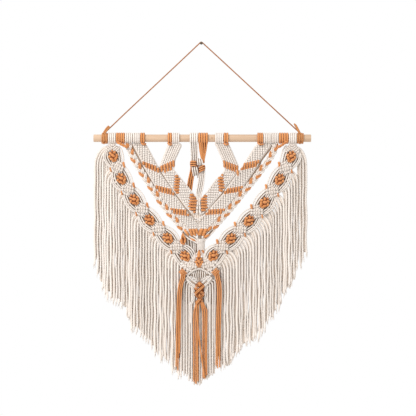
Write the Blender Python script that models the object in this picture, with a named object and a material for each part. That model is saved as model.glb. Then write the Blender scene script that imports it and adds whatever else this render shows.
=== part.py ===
"""Macrame wall hanging: knotted cotton cord on a wooden rod that hangs from a nail by a cord.

Frame: +X to the right, +Z up.  The wall is the plane Y = 0 and the viewer stands at -Y.
The origin is where the nail meets the wall.  Sizes are in millimetres: x is measured from
the nail, y from the wall, and drop is the distance straight down from the nail.
"""
import math
from collections import namedtuple

import bmesh
import bpy
from mathutils import Vector

# ---------------------------------------------------------------- driving sizes
MM = 0.001
GAP = 0.35                  # clear space between pieces that touch
CORD = 4.0                  # thickness of the cotton cord
ROD_RADIUS = 7.5
ROD_LENGTH = 435.0
ROD_X = 2.0
ROD_Y = -12.4
ROD_DROP = 190.0
ROD_SIDES = 20
LOOP_SIDES = 8
LOOP_GROOVE = 0.9           # depth of the groove between two cords on the rod
HANGER_CORD = 2.5
HANGER_RISE = 3.1           # how far the hanging cord passes above the nail's axis
NAIL_RADIUS = 1.5
NAIL_HEAD_RADIUS = 2.8
NAIL_LENGTH = 15.0
NAIL_SIDES = 12

CLOTH_FRONT = -18.0         # knotted leaves, between these two depths
CLOTH_BACK = -10.0
LEAF_RIDGES = 4
LEAF_GROOVE = 1.3
BAR_PROUD = 0.9             # how far an orange bar stands out of its leaf
BAR_SINK = 2.4              # depth of the bed that the bar lies in

PLAIT_WIDTH = 13.6
PLAIT_PERIOD = 33.0
PLAIT_STEPS = 5             # sections in one period
PLAIT_COLUMNS = 5
PLAIT_FRONT = -18.2
PLAIT_BACK = -11.0

BERRY_Y = -16.0
BERRY_DEPTH = 8.0
BERRY_HALF_WIDTH = 10.8
BERRY_HALF_HEIGHT = 11.5
BAND_FRONT = -17.4          # the strands that pass beside the berries
BAND_BACK = -12.6
BAND_REACH = 19.4           # from a berry's middle to the band's edge
KNOT_HALF_LENGTH = 15.0     # a crossing knot of the band, across the band
KNOT_HALF_HEIGHT = 8.4
KNOT_HALF_DEPTH = 4.8
KNOT_Y = -15.6

STRIP_FRONT = -10.6         # backing that holds the roots of a fringe
STRIP_BACK = -4.2
STRIP_HALF_WIDTH = 4.0
FRONT_LAYER_Y = -9.0
BACK_LAYER_Y = -5.2
STRAND_PITCH = 4.2          # from a front strand to the next back strand
STRAND = 4.3

# ---------------------------------------------------------------- colours
Finish = namedtuple("Finish", "name colour roughness metallic")
NATURAL = Finish("natural_cotton", (0.80, 0.72, 0.64), 0.90, 0.0)
ORANGE = Finish("rust_orange_cotton", (0.68, 0.25, 0.07), 0.88, 0.0)
BROWN = Finish("brown_hanging_cord", (0.38, 0.14, 0.045), 0.85, 0.0)
WOOD = Finish("pale_wood", (0.76, 0.52, 0.34), 0.60, 0.0)
STEEL = Finish("dark_nail", (0.09, 0.07, 0.05), 0.40, 0.9)

# ---------------------------------------------------------------- short tables
Point = namedtuple("Point", "x drop")
Solid = namedtuple("Solid", "verts faces")
Loops = namedtuple("Loops", "left_x right_x cords")
LeafRow = namedtuple("LeafRow", "left_x left_drop right_x right_drop is_bar")

ROD_TOP_LOOPS = {           # cords wound over the rod, from left to right
    "border_left": Loops(-186.2, -170.9, 4),
    "rope_left": Loops(-170.4, -152.9, 4),
    "plait_left": Loops(-152.4, -137.6, 4),
    "leaf_outer_left": Loops(-137.0, -122.3, 4),
    "orange_loops_1": Loops(-121.8, -112.8, 2),
    "orange_loops_2": Loops(-67.2, -58.8, 2),
    "leaf_inner_left": Loops(-58.2, -43.6, 4),
    "knot_white": Loops(-23.4, -6.7, 4),
    "knot_orange": Loops(-6.2, 13.4, 5),
    "leaf_inner_right": Loops(27.4, 44.2, 4),
    "orange_loops_3": Loops(44.8, 54.4, 2),
    "orange_loops_4": Loops(111.8, 123.6, 3),
    "leaf_outer_right": Loops(124.2, 139.2, 4),
    "plait_right": Loops(139.8, 154.5, 4),
    "rope_right": Loops(155.0, 174.2, 4),
    "border_right": Loops(174.8, 190.6, 4),
}

LEAF_ROWS = {
    "leaf_outer_left": (
        LeafRow(-136.4, 198.8, -122.8, 198.8, False),
        LeafRow(-136.4, 202.6, -122.8, 202.6, False),
        LeafRow(-134.4, 205.0, -110.2, 204.6, False),
        LeafRow(-118.0, 236.2, -87.4, 247.0, True),
        LeafRow(-113.8, 247.0, -83.4, 260.0, False),
        LeafRow(-91.6, 284.6, -60.8, 291.6, True),
        LeafRow(-86.6, 296.0, -53.2, 305.0, False),
        LeafRow(-61.8, 330.4, -32.2, 333.4, True),
        LeafRow(-53.4, 341.0, -23.4, 346.4, False),
        LeafRow(-39.4, 357.0, -6.0, 351.4, False),
        LeafRow(-25.4, 371.6, -6.0, 371.6, True),
        LeafRow(-21.6, 384.6, -6.0, 384.6, False),
        LeafRow(-20.6, 387.0, -7.0, 387.0, False),
    ),
    "leaf_inner_left": (
        LeafRow(-57.8, 198.8, -44.0, 198.8, False),
        LeafRow(-57.8, 202.6, -44.0, 202.6, False),
        LeafRow(-66.4, 205.0, -40.0, 204.2, False),
        LeafRow(-82.6, 246.6, -53.4, 233.6, True),
        LeafRow(-76.6, 260.0, -55.6, 251.6, False),
        LeafRow(-66.0, 276.4, -54.4, 254.4, False),
        LeafRow(-55.6, 292.6, -53.0, 257.2, True),
        LeafRow(-45.4, 306.4, -41.0, 271.6, False),
        LeafRow(-28.4, 329.6, -21.0, 295.6, True),
        LeafRow(-11.2, 341.0, -8.0, 312.0, False),
        LeafRow(-7.0, 342.4, -5.9, 320.0, False),
    ),
    "leaf_inner_right": (
        LeafRow(27.8, 198.8, 43.8, 198.8, False),
        LeafRow(27.8, 202.6, 43.8, 202.6, False),
        LeafRow(30.4, 204.4, 55.2, 204.8, False),
        LeafRow(43.0, 233.4, 73.6, 246.4, True),
        LeafRow(47.2, 250.6, 71.0, 257.2, False),
        LeafRow(45.8, 255.2, 61.0, 270.8, False),
        LeafRow(43.8, 261.0, 47.4, 288.6, True),
        LeafRow(31.4, 271.6, 36.4, 303.4, False),
        LeafRow(12.4, 297.0, 12.6, 331.2, True),
        LeafRow(-2.0, 312.6, 0.2, 341.6, False),
        LeafRow(-5.0, 321.0, -4.4, 342.6, False),
    ),
    "leaf_outer_right": (
        LeafRow(124.8, 198.8, 138.8, 198.8, False),
        LeafRow(124.8, 202.6, 138.8, 202.6, False),
        LeafRow(110.4, 204.4, 137.8, 206.0, False),
        LeafRow(86.4, 240.4, 116.4, 233.6, True),
        LeafRow(78.2, 254.6, 110.8, 246.6, False),
        LeafRow(50.4, 291.6, 83.8, 285.4, True),
        LeafRow(45.2, 301.6, 75.4, 297.2, False),
        LeafRow(16.4, 333.0, 47.6, 331.2, True),
        LeafRow(7.8, 343.4, 39.0, 341.4, False),
        LeafRow(-5.3, 351.4, 25.4, 357.0, False),
        LeafRow(-5.3, 371.6, 11.6, 371.6, True),
        LeafRow(-5.3, 384.6, 8.4, 384.6, False),
        LeafRow(-4.4, 387.0, 7.4, 387.0, False),
    ),
}

PLAIT_PATHS = {
    "plait_left": (Point(-144.9, 199.6), Point(-144.6, 208.0), Point(-137.4, 226.0),
                   Point(-127.8, 243.6), Point(-110.8, 271.6), Point(-92.8, 299.6),
                   Point(-74.8, 325.8), Point(-54.4, 351.2), Point(-34.0, 374.6)),
    "plait_right": (Point(147.1, 199.6), Point(147.6, 209.0), Point(137.8, 229.0),
                    Point(122.8, 249.8), Point(103.4, 275.4), Point(82.4, 300.4),
                    Point(62.2, 326.0), Point(41.8, 349.2), Point(21.4, 371.8)),
}

ROPE_PATHS = {              # orange rope from the rod to the top of a plait
    "rope_left": (Point(-168.6, 197.4), Point(-160.0, 202.2), Point(-148.6, 208.2)),
    "rope_right": (Point(170.6, 197.2), Point(163.4, 202.2), Point(153.8, 208.4)),
}

BERRIES = {                 # from the rod down to the middle
    "left": (Point(-176.0, 225.6), Point(-159.8, 270.8), Point(-134.0, 312.8),
             Point(-103.6, 353.2), Point(-67.2, 389.6), Point(-32.6, 425.6)),
    "right": (Point(179.8, 226.6), Point(156.6, 272.2), Point(126.4, 318.8),
              Point(95.4, 355.0), Point(59.4, 390.6), Point(24.0, 424.8)),
}
BAND_TOP = {"left": Point(-177.0, 207.8), "right": Point(181.6, 207.8)}
KNOT_SCALES = {0: (1.0, 0.6), 6: (0.5, 0.6)}     # length and height of the end knots
BAND_FOOT = {"left": Point(-21.0, 444.0), "right": Point(14.0, 443.4)}
MIDDLE_BERRY = Point(-4.6, 436.0)

HEM = (                     # where the fringe ends, from left to right
    Point(-214.0, 436.0), Point(-206.0, 462.0), Point(-193.0, 505.0), Point(-152.0, 530.0),
    Point(-140.0, 569.0), Point(-130.0, 583.0), Point(-105.0, 593.0), Point(-95.0, 618.0),
    Point(-65.0, 641.0), Point(-60.0, 656.0), Point(-38.0, 664.0), Point(-18.0, 679.0),
    Point(-4.0, 680.6), Point(14.0, 670.0), Point(32.0, 651.0), Point(54.0, 647.0),
    Point(68.0, 628.0), Point(81.0, 610.0), Point(95.0, 605.0), Point(118.0, 585.0),
    Point(136.0, 557.0), Point(156.0, 533.0), Point(166.0, 500.0), Point(184.0, 484.0),
    Point(190.0, 452.0), Point(201.0, 444.0), Point(214.0, 410.0),
)

LensCorner = namedtuple("LensCorner", "outer_x outer_drop inner_x inner_drop")
LENS = (                    # the almond of knotted bars under the middle berry
    LensCorner(-31.0, 462.0, -24.6, 463.0), LensCorner(-28.4, 457.0, -20.0, 459.6),
    LensCorner(-17.0, 451.0, -13.0, 456.6), LensCorner(-4.6, 450.0, -4.6, 455.0),
    LensCorner(10.0, 451.0, 5.0, 456.6), LensCorner(20.6, 456.6, 12.6, 459.6),
    LensCorner(23.2, 461.4, 16.8, 463.0), LensCorner(21.0, 468.6, 12.0, 468.0),
    LensCorner(10.0, 481.0, 4.0, 475.0), LensCorner(-3.8, 487.0, -4.0, 478.6),
    LensCorner(-18.0, 481.0, -11.6, 475.0), LensCorner(-28.8, 469.0, -20.0, 468.0),
)


# ---------------------------------------------------------------- plain geometry
def mix(a, b, share):
    """The value that lies this share of the way from a to b."""
    return a + (b - a) * share


def at(x, y, drop):
    """A point in metres from its x, y and drop in millimetres."""
    return Vector((x, y, -drop)) * MM


def smooth(points, steps):
    """A smooth curve through hand-chosen points, with this many steps between two of them."""
    ends = [points[0]] + list(points) + [points[-1]]
    curve = []
    for before, start, end, after in zip(ends, ends[1:], ends[2:], ends[3:]):
        for step in range(steps):
            t = step / steps
            curve.append(tuple(
                0.5 * (2 * b + (c - a) * t + (2 * a - 5 * b + 4 * c - d) * t * t
                       + (3 * b - a - 3 * c + d) * t ** 3)
                for a, b, c, d in zip(before, start, end, after)))
    return curve + [tuple(points[-1])]


def lengths_along(path):
    """The distance from the path's start to each of its points."""
    total, run = 0.0, [0.0]
    for a, b in zip(path, path[1:]):
        total += math.dist(a, b)
        run.append(total)
    return run


def height_at(table, x):
    """The drop of a left-to-right table of points at x."""
    for a, b in zip(table, table[1:]):
        if x <= b.x:
            return mix(a.drop, b.drop, max(0.0, (x - a.x) / (b.x - a.x)))
    return table[-1].drop


def skin(rings, closed=False):
    """A solid over rings of equally many points, capped at both ends or closed to a loop."""
    count = len(rings[0])
    last = len(rings) - 1
    faces = []
    for i in range(len(rings) if closed else last):
        here, there = i * count, (i + 1) % len(rings) * count
        for k in range(count):
            after = (k + 1) % count
            faces.append((here + k, here + after, there + after, there + k))
    if not closed:
        faces.append(tuple(range(count - 1, -1, -1)))
        faces.append(tuple(last * count + k for k in range(count)))
    return Solid([point for ring in rings for point in ring], faces)


def band_ring(left, right, front, back, ridges, groove):
    """A section across a flat band: a ridged front and a plain back."""
    ring = []
    for k in range(2 * ridges + 1):
        share = k / (2 * ridges)
        sink = 0.0 if k % 2 else groove
        ring.append(at(mix(left.x, right.x, share), front + sink,
                       mix(left.drop, right.drop, share)))
    ring.append(at(right.x, back, right.drop))
    ring.append(at(left.x, back, left.drop))
    return ring


def cord_solid(path, thick, sides=4, turn=0.0):
    """A cord or strand along (x, y, drop) points; thick is its diameter, or one for each point.

    A three-sided strand has its flat side to the front.
    """
    start = math.pi / 2 if sides == 3 else math.pi / sides
    rings = []
    for i, (x, y, drop) in enumerate(path):
        before, after = path[max(i - 1, 0)], path[min(i + 1, len(path) - 1)]
        run = Vector((after[0] - before[0], after[2] - before[2])).normalized()
        radius = (thick[i] if isinstance(thick, (list, tuple)) else thick) / 2
        ring = []
        for k in range(sides):
            angle = 2 * math.pi * k / sides + start + turn * i
            side = radius * math.cos(angle)
            ring.append(at(x - run.y * side, y + radius * math.sin(angle), drop + run.x * side))
        rings.append(ring)
    return skin(rings)


# ---------------------------------------------------------------- objects
def make_material(finish):
    """The material of a finish, made once."""
    material = bpy.data.materials.get(finish.name)
    if material is None:
        material = bpy.data.materials.new(finish.name)
        material.use_nodes = True
        shader = material.node_tree.nodes["Principled BSDF"]
        shader.inputs["Base Color"].default_value = (*finish.colour, 1.0)
        shader.inputs["Roughness"].default_value = finish.roughness
        shader.inputs["Metallic"].default_value = finish.metallic
        material.diffuse_color = (*finish.colour, 1.0)
    return material


def plain_object(name, solid):
    """An object that holds one solid, with its faces turned outwards."""
    mesh = bpy.data.meshes.new(name)
    mesh.from_pydata([tuple(v) for v in solid.verts], [], solid.faces)
    work = bmesh.new()
    work.from_mesh(mesh)
    bmesh.ops.recalc_face_normals(work, faces=work.faces)
    work.to_mesh(mesh)
    work.free()
    piece = bpy.data.objects.new(name, mesh)
    bpy.context.scene.collection.objects.link(piece)
    return piece


def dress(piece, finish, angle=math.radians(40)):
    """Give a piece its material and smooth shading between its sharp edges."""
    piece.data.materials.clear()
    piece.data.materials.append(make_material(finish))
    piece.data.shade_smooth()
    piece.data.set_sharp_from_angle(angle=angle)
    return piece


def make(name, solid, finish):
    """One piece from one solid."""
    return dress(plain_object(name, solid), finish)


def join_apart(solids):
    """Several solids that don't touch, as one list of corners and faces."""
    verts, faces = [], []
    for solid in solids:
        start = len(verts)
        verts.extend(solid.verts)
        faces.extend(tuple(start + k for k in face) for face in solid.faces)
    return Solid(verts, faces)


def fuse(name, solids, finish):
    """One closed piece from overlapping solids."""
    pieces = [plain_object(f"{name}_{i}", solid) for i, solid in enumerate(solids)]
    group = bpy.data.collections.new(name)
    for piece in pieces[1:]:
        group.objects.link(piece)
    union = pieces[0].modifiers.new("union", 'BOOLEAN')
    union.operation = 'UNION'
    union.operand_type = 'COLLECTION'
    union.collection = group
    union.solver = 'EXACT'
    depsgraph = bpy.context.evaluated_depsgraph_get()
    mesh = bpy.data.meshes.new_from_object(pieces[0].evaluated_get(depsgraph))
    mesh.name = name
    for piece in pieces:
        bpy.data.objects.remove(piece)
    bpy.data.collections.remove(group)
    result = bpy.data.objects.new(name, mesh)
    bpy.context.scene.collection.objects.link(result)
    return dress(result, finish)


# ---------------------------------------------------------------- rod, nail and hanging cord
def turned(stations, sides, place, closed=False, phase=0.0):
    """A round solid from (position along the axis, radius) stations; place puts a point."""
    rings = [[place(along, radius * math.cos(2 * math.pi * k / sides + phase),
                    radius * math.sin(2 * math.pi * k / sides + phase)) for k in range(sides)]
             for along, radius in stations]
    return skin(rings, closed)


def build_rod():
    """The wooden rod, with slightly rounded ends."""
    half = ROD_LENGTH / 2
    stations = [(-half, ROD_RADIUS - 0.8), (-half + 0.8, ROD_RADIUS),
                (half - 0.8, ROD_RADIUS), (half, ROD_RADIUS - 0.8)]
    make("rod", turned(stations, ROD_SIDES,
                       lambda along, a, b: at(ROD_X + along, ROD_Y + a, ROD_DROP + b)), WOOD)


def build_nail():
    """The nail in the wall, with its flat head towards the viewer."""
    stations = [(0.0, NAIL_RADIUS), (-NAIL_LENGTH + 1.2, NAIL_RADIUS),
                (-NAIL_LENGTH + 1.2, NAIL_HEAD_RADIUS), (-NAIL_LENGTH + 0.3, NAIL_HEAD_RADIUS),
                (-NAIL_LENGTH, NAIL_HEAD_RADIUS - 0.4)]
    make("wall_nail", turned(stations, NAIL_SIDES,
                             lambda along, a, b: at(a, along, b)), STEEL)


def build_hanging_cord():
    """The taut cord from the rod's left end over the nail to its right end."""
    nail_y = -8.0
    route = [(-191.0, ROD_Y, 177.2), (-165.0, -11.9, 152.2), (-140.0, -11.3, 128.4),
             (-90.0, -10.2, 81.4), (-40.0, -9.0, 34.2), (-12.0, nail_y, 7.6),
             (-4.4, nail_y, 0.4), (0.0, nail_y, -HANGER_RISE), (4.4, nail_y, 0.4),
             (12.0, nail_y, 7.4), (40.0, -9.0, 33.2), (90.0, -10.2, 79.6),
             (140.0, -11.3, 126.2), (168.0, -11.9, 152.2), (194.6, ROD_Y, 177.0)]
    curve = bpy.data.curves.new("hanging_cord", 'CURVE')
    curve.dimensions = '3D'
    curve.bevel_depth = HANGER_CORD / 2 * MM
    curve.bevel_resolution = 2
    curve.use_fill_caps = True
    points = smooth(route, 3)
    spline = curve.splines.new('POLY')
    spline.points.add(len(points) - 1)
    for point, place in zip(spline.points, points):
        point.co = (*at(*place), 1.0)
    curve.materials.append(make_material(BROWN))
    bpy.context.scene.collection.objects.link(bpy.data.objects.new("hanging_cord", curve))


def wound(left_x, right_x, cords, thick, groove):
    """Cords wound side by side round the rod, one ridge for each."""
    inner = (ROD_RADIUS + GAP) / math.cos(math.pi / LOOP_SIDES)
    outer = inner + thick - 0.6
    rings = []
    for i in range(LOOP_SIDES):
        angle = 2 * math.pi * (i + 0.5) / LOOP_SIDES
        section = [(mix(left_x, right_x, k / (2 * cords)), outer - (0.0 if k % 2 else groove))
                   for k in range(2 * cords + 1)]
        section += [(right_x, inner), (left_x, inner)]
        rings.append([at(x, ROD_Y + radius * math.cos(angle), ROD_DROP + radius * math.sin(angle))
                      for x, radius in section])
    return skin(rings, closed=True)


def rod_loops(name):
    """The loops over the rod from which a piece hangs."""
    loops = ROD_TOP_LOOPS[name]
    return wound(loops.left_x, loops.right_x, loops.cords, CORD, LOOP_GROOVE)


def build_hanger_knots():
    """The ends of the hanging cord, wound round the rod, each with its loose tail."""
    tail_y = ROD_Y - 4.4
    left = wound(-199.4, -186.8, 5, HANGER_CORD + 0.6, 0.6)
    left_tail = cord_solid([(-194.0, tail_y + 0.4, 182.6), (-189.6, tail_y, 172.6),
                            (-183.4, tail_y, 166.0)], (3.6, 3.4, 2.2), 6)
    fuse("hanger_knot_left", [left, left_tail], BROWN)
    right = wound(191.2, 204.6, 5, HANGER_CORD + 0.6, 0.6)
    right_tail = cord_solid([(197.0, tail_y + 0.4, 182.6), (192.2, tail_y, 171.6),
                             (186.6, tail_y, 161.4)], (3.4, 3.0, 1.8), 6)
    fuse("hanger_knot_right", [right, right_tail], BROWN)


# ---------------------------------------------------------------- leaves and their orange bars
def leaf_section(a, b, share, front, ridges, groove, back=CLOTH_BACK):
    """A section of a leaf, this share of the way from row a to row b."""
    left = Point(mix(a.left_x, b.left_x, share), mix(a.left_drop, b.left_drop, share))
    right = Point(mix(a.right_x, b.right_x, share), mix(a.right_drop, b.right_drop, share))
    return band_ring(left, right, front, back, ridges, groove)


def row_gap(a, b):
    """The share of the way from row a to row b that makes the narrowest edge's gap."""
    left = math.dist((a.left_x, a.left_drop), (b.left_x, b.left_drop))
    right = math.dist((a.right_x, a.right_drop), (b.right_x, b.right_drop))
    return GAP / min(left, right)


def leaf_solid(rows):
    """A leaf of knotted rows, with a shallow bed where each orange bar lies."""
    rings = []
    bed = CLOTH_FRONT + BAR_SINK
    above_is_bar = False
    for a, b in zip(rows, rows[1:]):
        if a.is_bar:
            rings.append(leaf_section(a, b, 0.0, bed, LEAF_RIDGES, 0.0))
            rings.append(leaf_section(a, b, 1.0, bed, LEAF_RIDGES, 0.0))
        else:
            start = row_gap(a, b) if above_is_bar else 0.0
            rings.append(leaf_section(a, b, start, CLOTH_FRONT, LEAF_RIDGES, LEAF_GROOVE))
            if b.is_bar or b is rows[-1]:
                end = 1.0 - row_gap(a, b)
                rings.append(leaf_section(a, b, end, CLOTH_FRONT, LEAF_RIDGES, LEAF_GROOVE))
        above_is_bar = a.is_bar
    return skin(rings)


def bar_solid(a, b):
    """An orange bar of double half hitches: one ridge for each turn."""
    gap = row_gap(a, b)
    front = CLOTH_FRONT - BAR_PROUD
    back = CLOTH_FRONT + BAR_SINK - GAP
    shares = ((gap, 0.9), (0.5, 0.0), (1.0 - gap, 0.9))
    return skin([leaf_section(a, b, share, front + lower, LEAF_RIDGES + 1, 1.0, back)
                 for share, lower in shares])


def build_leaves():
    """Four leaves on their rod loops, and the orange bars that lie in them."""
    for name, rows in LEAF_ROWS.items():
        solids = [rod_loops(name), leaf_solid(rows)]
        if name == "leaf_outer_left":
            for x in (-18.6, -13.8):
                solids.append(cord_solid([(x, -12.4, 383.0), (x - 1.0, -11.4, 391.0),
                                          (x - 6.0, -8.4, 404.0), (x - 8.6, -8.2, 417.0)], 3.6))
        fuse(name, solids, NATURAL)
        bars = [(a, b) for a, b in zip(rows, rows[1:]) if a.is_bar]
        for number, (a, b) in enumerate(bars, 1):
            make(f"{name}_bar_{number}", bar_solid(a, b), ORANGE)


# ---------------------------------------------------------------- plaits and ropes
def plait_front(across, turn):
    """Depth shares of a three-strand plait: how far its front stands out at a place across it."""
    best = 0.0
    for strand in range(3):
        angle = turn + strand * 2 * math.pi / 3
        distance = abs(across - 0.58 * math.sin(angle)) / 0.52
        if distance < 1.0:
            best = max(best, 0.62 + 0.38 * math.sin(2 * angle) - 0.45 * distance ** 2)
    return best


def plait_edge(side, turn):
    """How far a plait reaches to one side, as a share of its half width."""
    reach = max(side * 0.58 * math.sin(turn + strand * 2 * math.pi / 3) for strand in range(3))
    return reach + 0.42


def plait_solid(path):
    """A flat three-strand plait along a path."""
    curve = smooth(path, 6)
    run = lengths_along(curve)
    count = round(run[-1] / PLAIT_PERIOD * PLAIT_STEPS)
    rings = []
    for step in range(count + 1):
        wanted = run[-1] * step / count
        i = next(k for k in range(1, len(run)) if run[k] >= wanted - 1e-6)
        share = (wanted - run[i - 1]) / (run[i] - run[i - 1])
        x, drop = (mix(a, b, share) for a, b in zip(curve[i - 1], curve[i]))
        ahead = Vector((curve[i][0] - curve[i - 1][0], curve[i][1] - curve[i - 1][1])).normalized()
        turn = 2 * math.pi * wanted / PLAIT_PERIOD
        low, high = (PLAIT_WIDTH / 2 * plait_edge(side, turn) for side in (-1, 1))
        ring = []
        for column in range(PLAIT_COLUMNS + 1):
            offset = mix(-low, high, column / PLAIT_COLUMNS)
            out = plait_front(offset / (PLAIT_WIDTH / 2), turn)
            ring.append(at(x + ahead.y * offset, mix(PLAIT_FRONT + 4.0, PLAIT_FRONT, out),
                           drop - ahead.x * offset))
        ring.append(at(x + ahead.y * high, PLAIT_BACK, drop - ahead.x * high))
        ring.append(at(x - ahead.y * low, PLAIT_BACK, drop + ahead.x * low))
        rings.append(ring)
    return skin(rings)


def build_plaits():
    """A plait beside each outer leaf, and the orange rope that leads into its top."""
    for name, path in PLAIT_PATHS.items():
        fuse(name, [rod_loops(name), plait_solid(path)], NATURAL)
    for name, path in ROPE_PATHS.items():
        route = [(x, y, drop) for (x, drop), y in zip(path, (-20.2, -22.0, -22.4))]
        rope = cord_solid(smooth(route, 3), 5.1, 5, turn=0.4)
        fuse(name, [rod_loops(name), rope], ORANGE)


def build_orange_loops():
    """Short orange loops on the rod, beside the white ones."""
    for name, loops in ROD_TOP_LOOPS.items():
        if name.startswith("orange_loops"):
            make(name, rod_loops(name), ORANGE)


# ---------------------------------------------------------------- border of berries
def middle(a, b):
    """The point half-way between two points."""
    return Point((a.x + b.x) / 2, (a.drop + b.drop) / 2)


def crossings(side):
    """The places of a border's crossing knots: above, between and below its berries."""
    berries = BERRIES[side]
    between = [middle(a, b) for a, b in zip(berries, berries[1:])]
    return [BAND_TOP[side]] + between + [BAND_FOOT[side]]


def across(before, after, side):
    """The unit step from the band's line towards the middle of the hanging."""
    run = Vector((after.x - before.x, after.drop - before.drop)).normalized()
    inward = 1 if side == "left" else -1
    return Vector((run.y, -run.x)) * inward


def beside_berry(start, berry, end, side, near, far, reach, ridges):
    """Strands that pass on one side of a berry, from one crossing knot to the next."""
    step = across(start, end, side)
    sign = 1 if far > 0 else -1
    rings = []
    for t, swell in ((0.0, 0.0), (0.3, 0.88), (0.7, 0.88), (1.0, 0.0)):
        centre_x = mix(start.x, end.x, t) + swell * (berry.x - (start.x + end.x) / 2)
        centre_drop = mix(start.drop, end.drop, t) + swell * (berry.drop - (start.drop + end.drop) / 2)
        inner = sign * (2.0 + (near - 2.0) * swell)
        outer = sign * (reach + (abs(far) - reach) * swell)
        near_edge = Point(centre_x + step.x * inner, centre_drop + step.y * inner)
        far_edge = Point(centre_x + step.x * outer, centre_drop + step.y * outer)
        rings.append(band_ring(near_edge, far_edge, BAND_FRONT, BAND_BACK, ridges, 1.6))
    return skin(rings)


def crossing_knot(place, step, half_length, half_height):
    """A crossing knot that lies across the band, with a ridge for each turn of its bar."""
    shape = ((-1.0, 0.50), (-0.6, 1.0), (0.0, 0.82), (0.6, 1.0), (1.0, 0.50))
    along = Vector((-step.y, step.x))
    rings = []
    for share, size in shape:
        x = place.x + step.x * half_length * share
        drop = place.drop + step.y * half_length * share
        rings.append([at(x + along.x * half_height * size * math.cos(angle),
                         KNOT_Y + KNOT_HALF_DEPTH * size * math.sin(angle),
                         drop + along.y * half_height * size * math.cos(angle))
                      for angle in (math.pi * k / 3 for k in range(6))])
    return skin(rings)


def build_border(side):
    """One side of the border: crossing knots and the strands that run round the berries."""
    name = f"border_{side}"
    berries, knots = BERRIES[side], crossings(side)
    loops = ROD_TOP_LOOPS[name]
    neck = [band_ring(Point(loops.left_x + 1, drop), Point(loops.right_x - 1, drop),
                      front, CLOTH_BACK - 2.0, loops.cords, 1.2)
            for drop, front in ((198.8, -18.4), (207.0, -18.0))]
    solids = [rod_loops(name), skin(neck)]
    for start, berry, end in zip(knots, berries, knots[1:]):
        solids.append(beside_berry(start, berry, end, side, 13.0, BAND_REACH + 1.0, 11.0, 3))
        solids.append(beside_berry(start, berry, end, side, 13.0, -BAND_REACH, 9.0, 2))
    points = [knots[0]] + list(berries) + [knots[-1]]
    for number, knot in enumerate(knots):
        before, after = points[number], points[number + 1]
        long, high = KNOT_SCALES.get(number, (1.0, 1.0))
        solids.append(crossing_knot(knot, across(before, after, side),
                                    KNOT_HALF_LENGTH * long, KNOT_HALF_HEIGHT * high))
    fuse(name, solids, NATURAL)


def berry_solid(place, run, half_width, half_height):
    """A berry knot: a ball with slanting ridges, and a short neck at both ends of its run."""
    shape = ((-1.08, 0.28), (-0.62, 0.86), (0.0, 1.0), (0.62, 0.86), (1.08, 0.28))
    sides = 8
    rings = []
    for number, (height, size) in enumerate(shape):
        ring = []
        for k in range(sides):
            angle = 2 * math.pi * (k + 0.5) / sides
            ridge = 1.0 if (k + number) % 2 else 0.92
            wide = half_width * size * ridge * math.cos(angle)
            ring.append(at(place.x + run.y * wide + run.x * half_height * height,
                           BERRY_Y + BERRY_DEPTH * size * ridge * math.sin(angle),
                           place.drop - run.x * wide + run.y * half_height * height))
        rings.append(ring)
    return skin(rings)


def build_berries():
    """Six orange berries on each side and a tall narrow one in the middle."""
    for side, places in BERRIES.items():
        knots = crossings(side)
        for number, place in enumerate(places, 1):
            start, end = knots[number - 1], knots[number]
            run = Vector((end.x - start.x, end.drop - start.drop)).normalized()
            make(f"berry_{side}_{number}",
                 berry_solid(place, run, BERRY_HALF_WIDTH, BERRY_HALF_HEIGHT), ORANGE)
    make("berry_middle", berry_solid(MIDDLE_BERRY, Vector((0, 1)), 7.4, 10.8), ORANGE)


# ---------------------------------------------------------------- knot in the middle
def panel(rows, ridges, groove):
    """A ridged panel from (left x, right x, drop, front, back) rows."""
    return skin([band_ring(Point(left, drop), Point(right, drop), front, back, ridges, groove)
                 for left, right, drop, front, back in rows])


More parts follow.
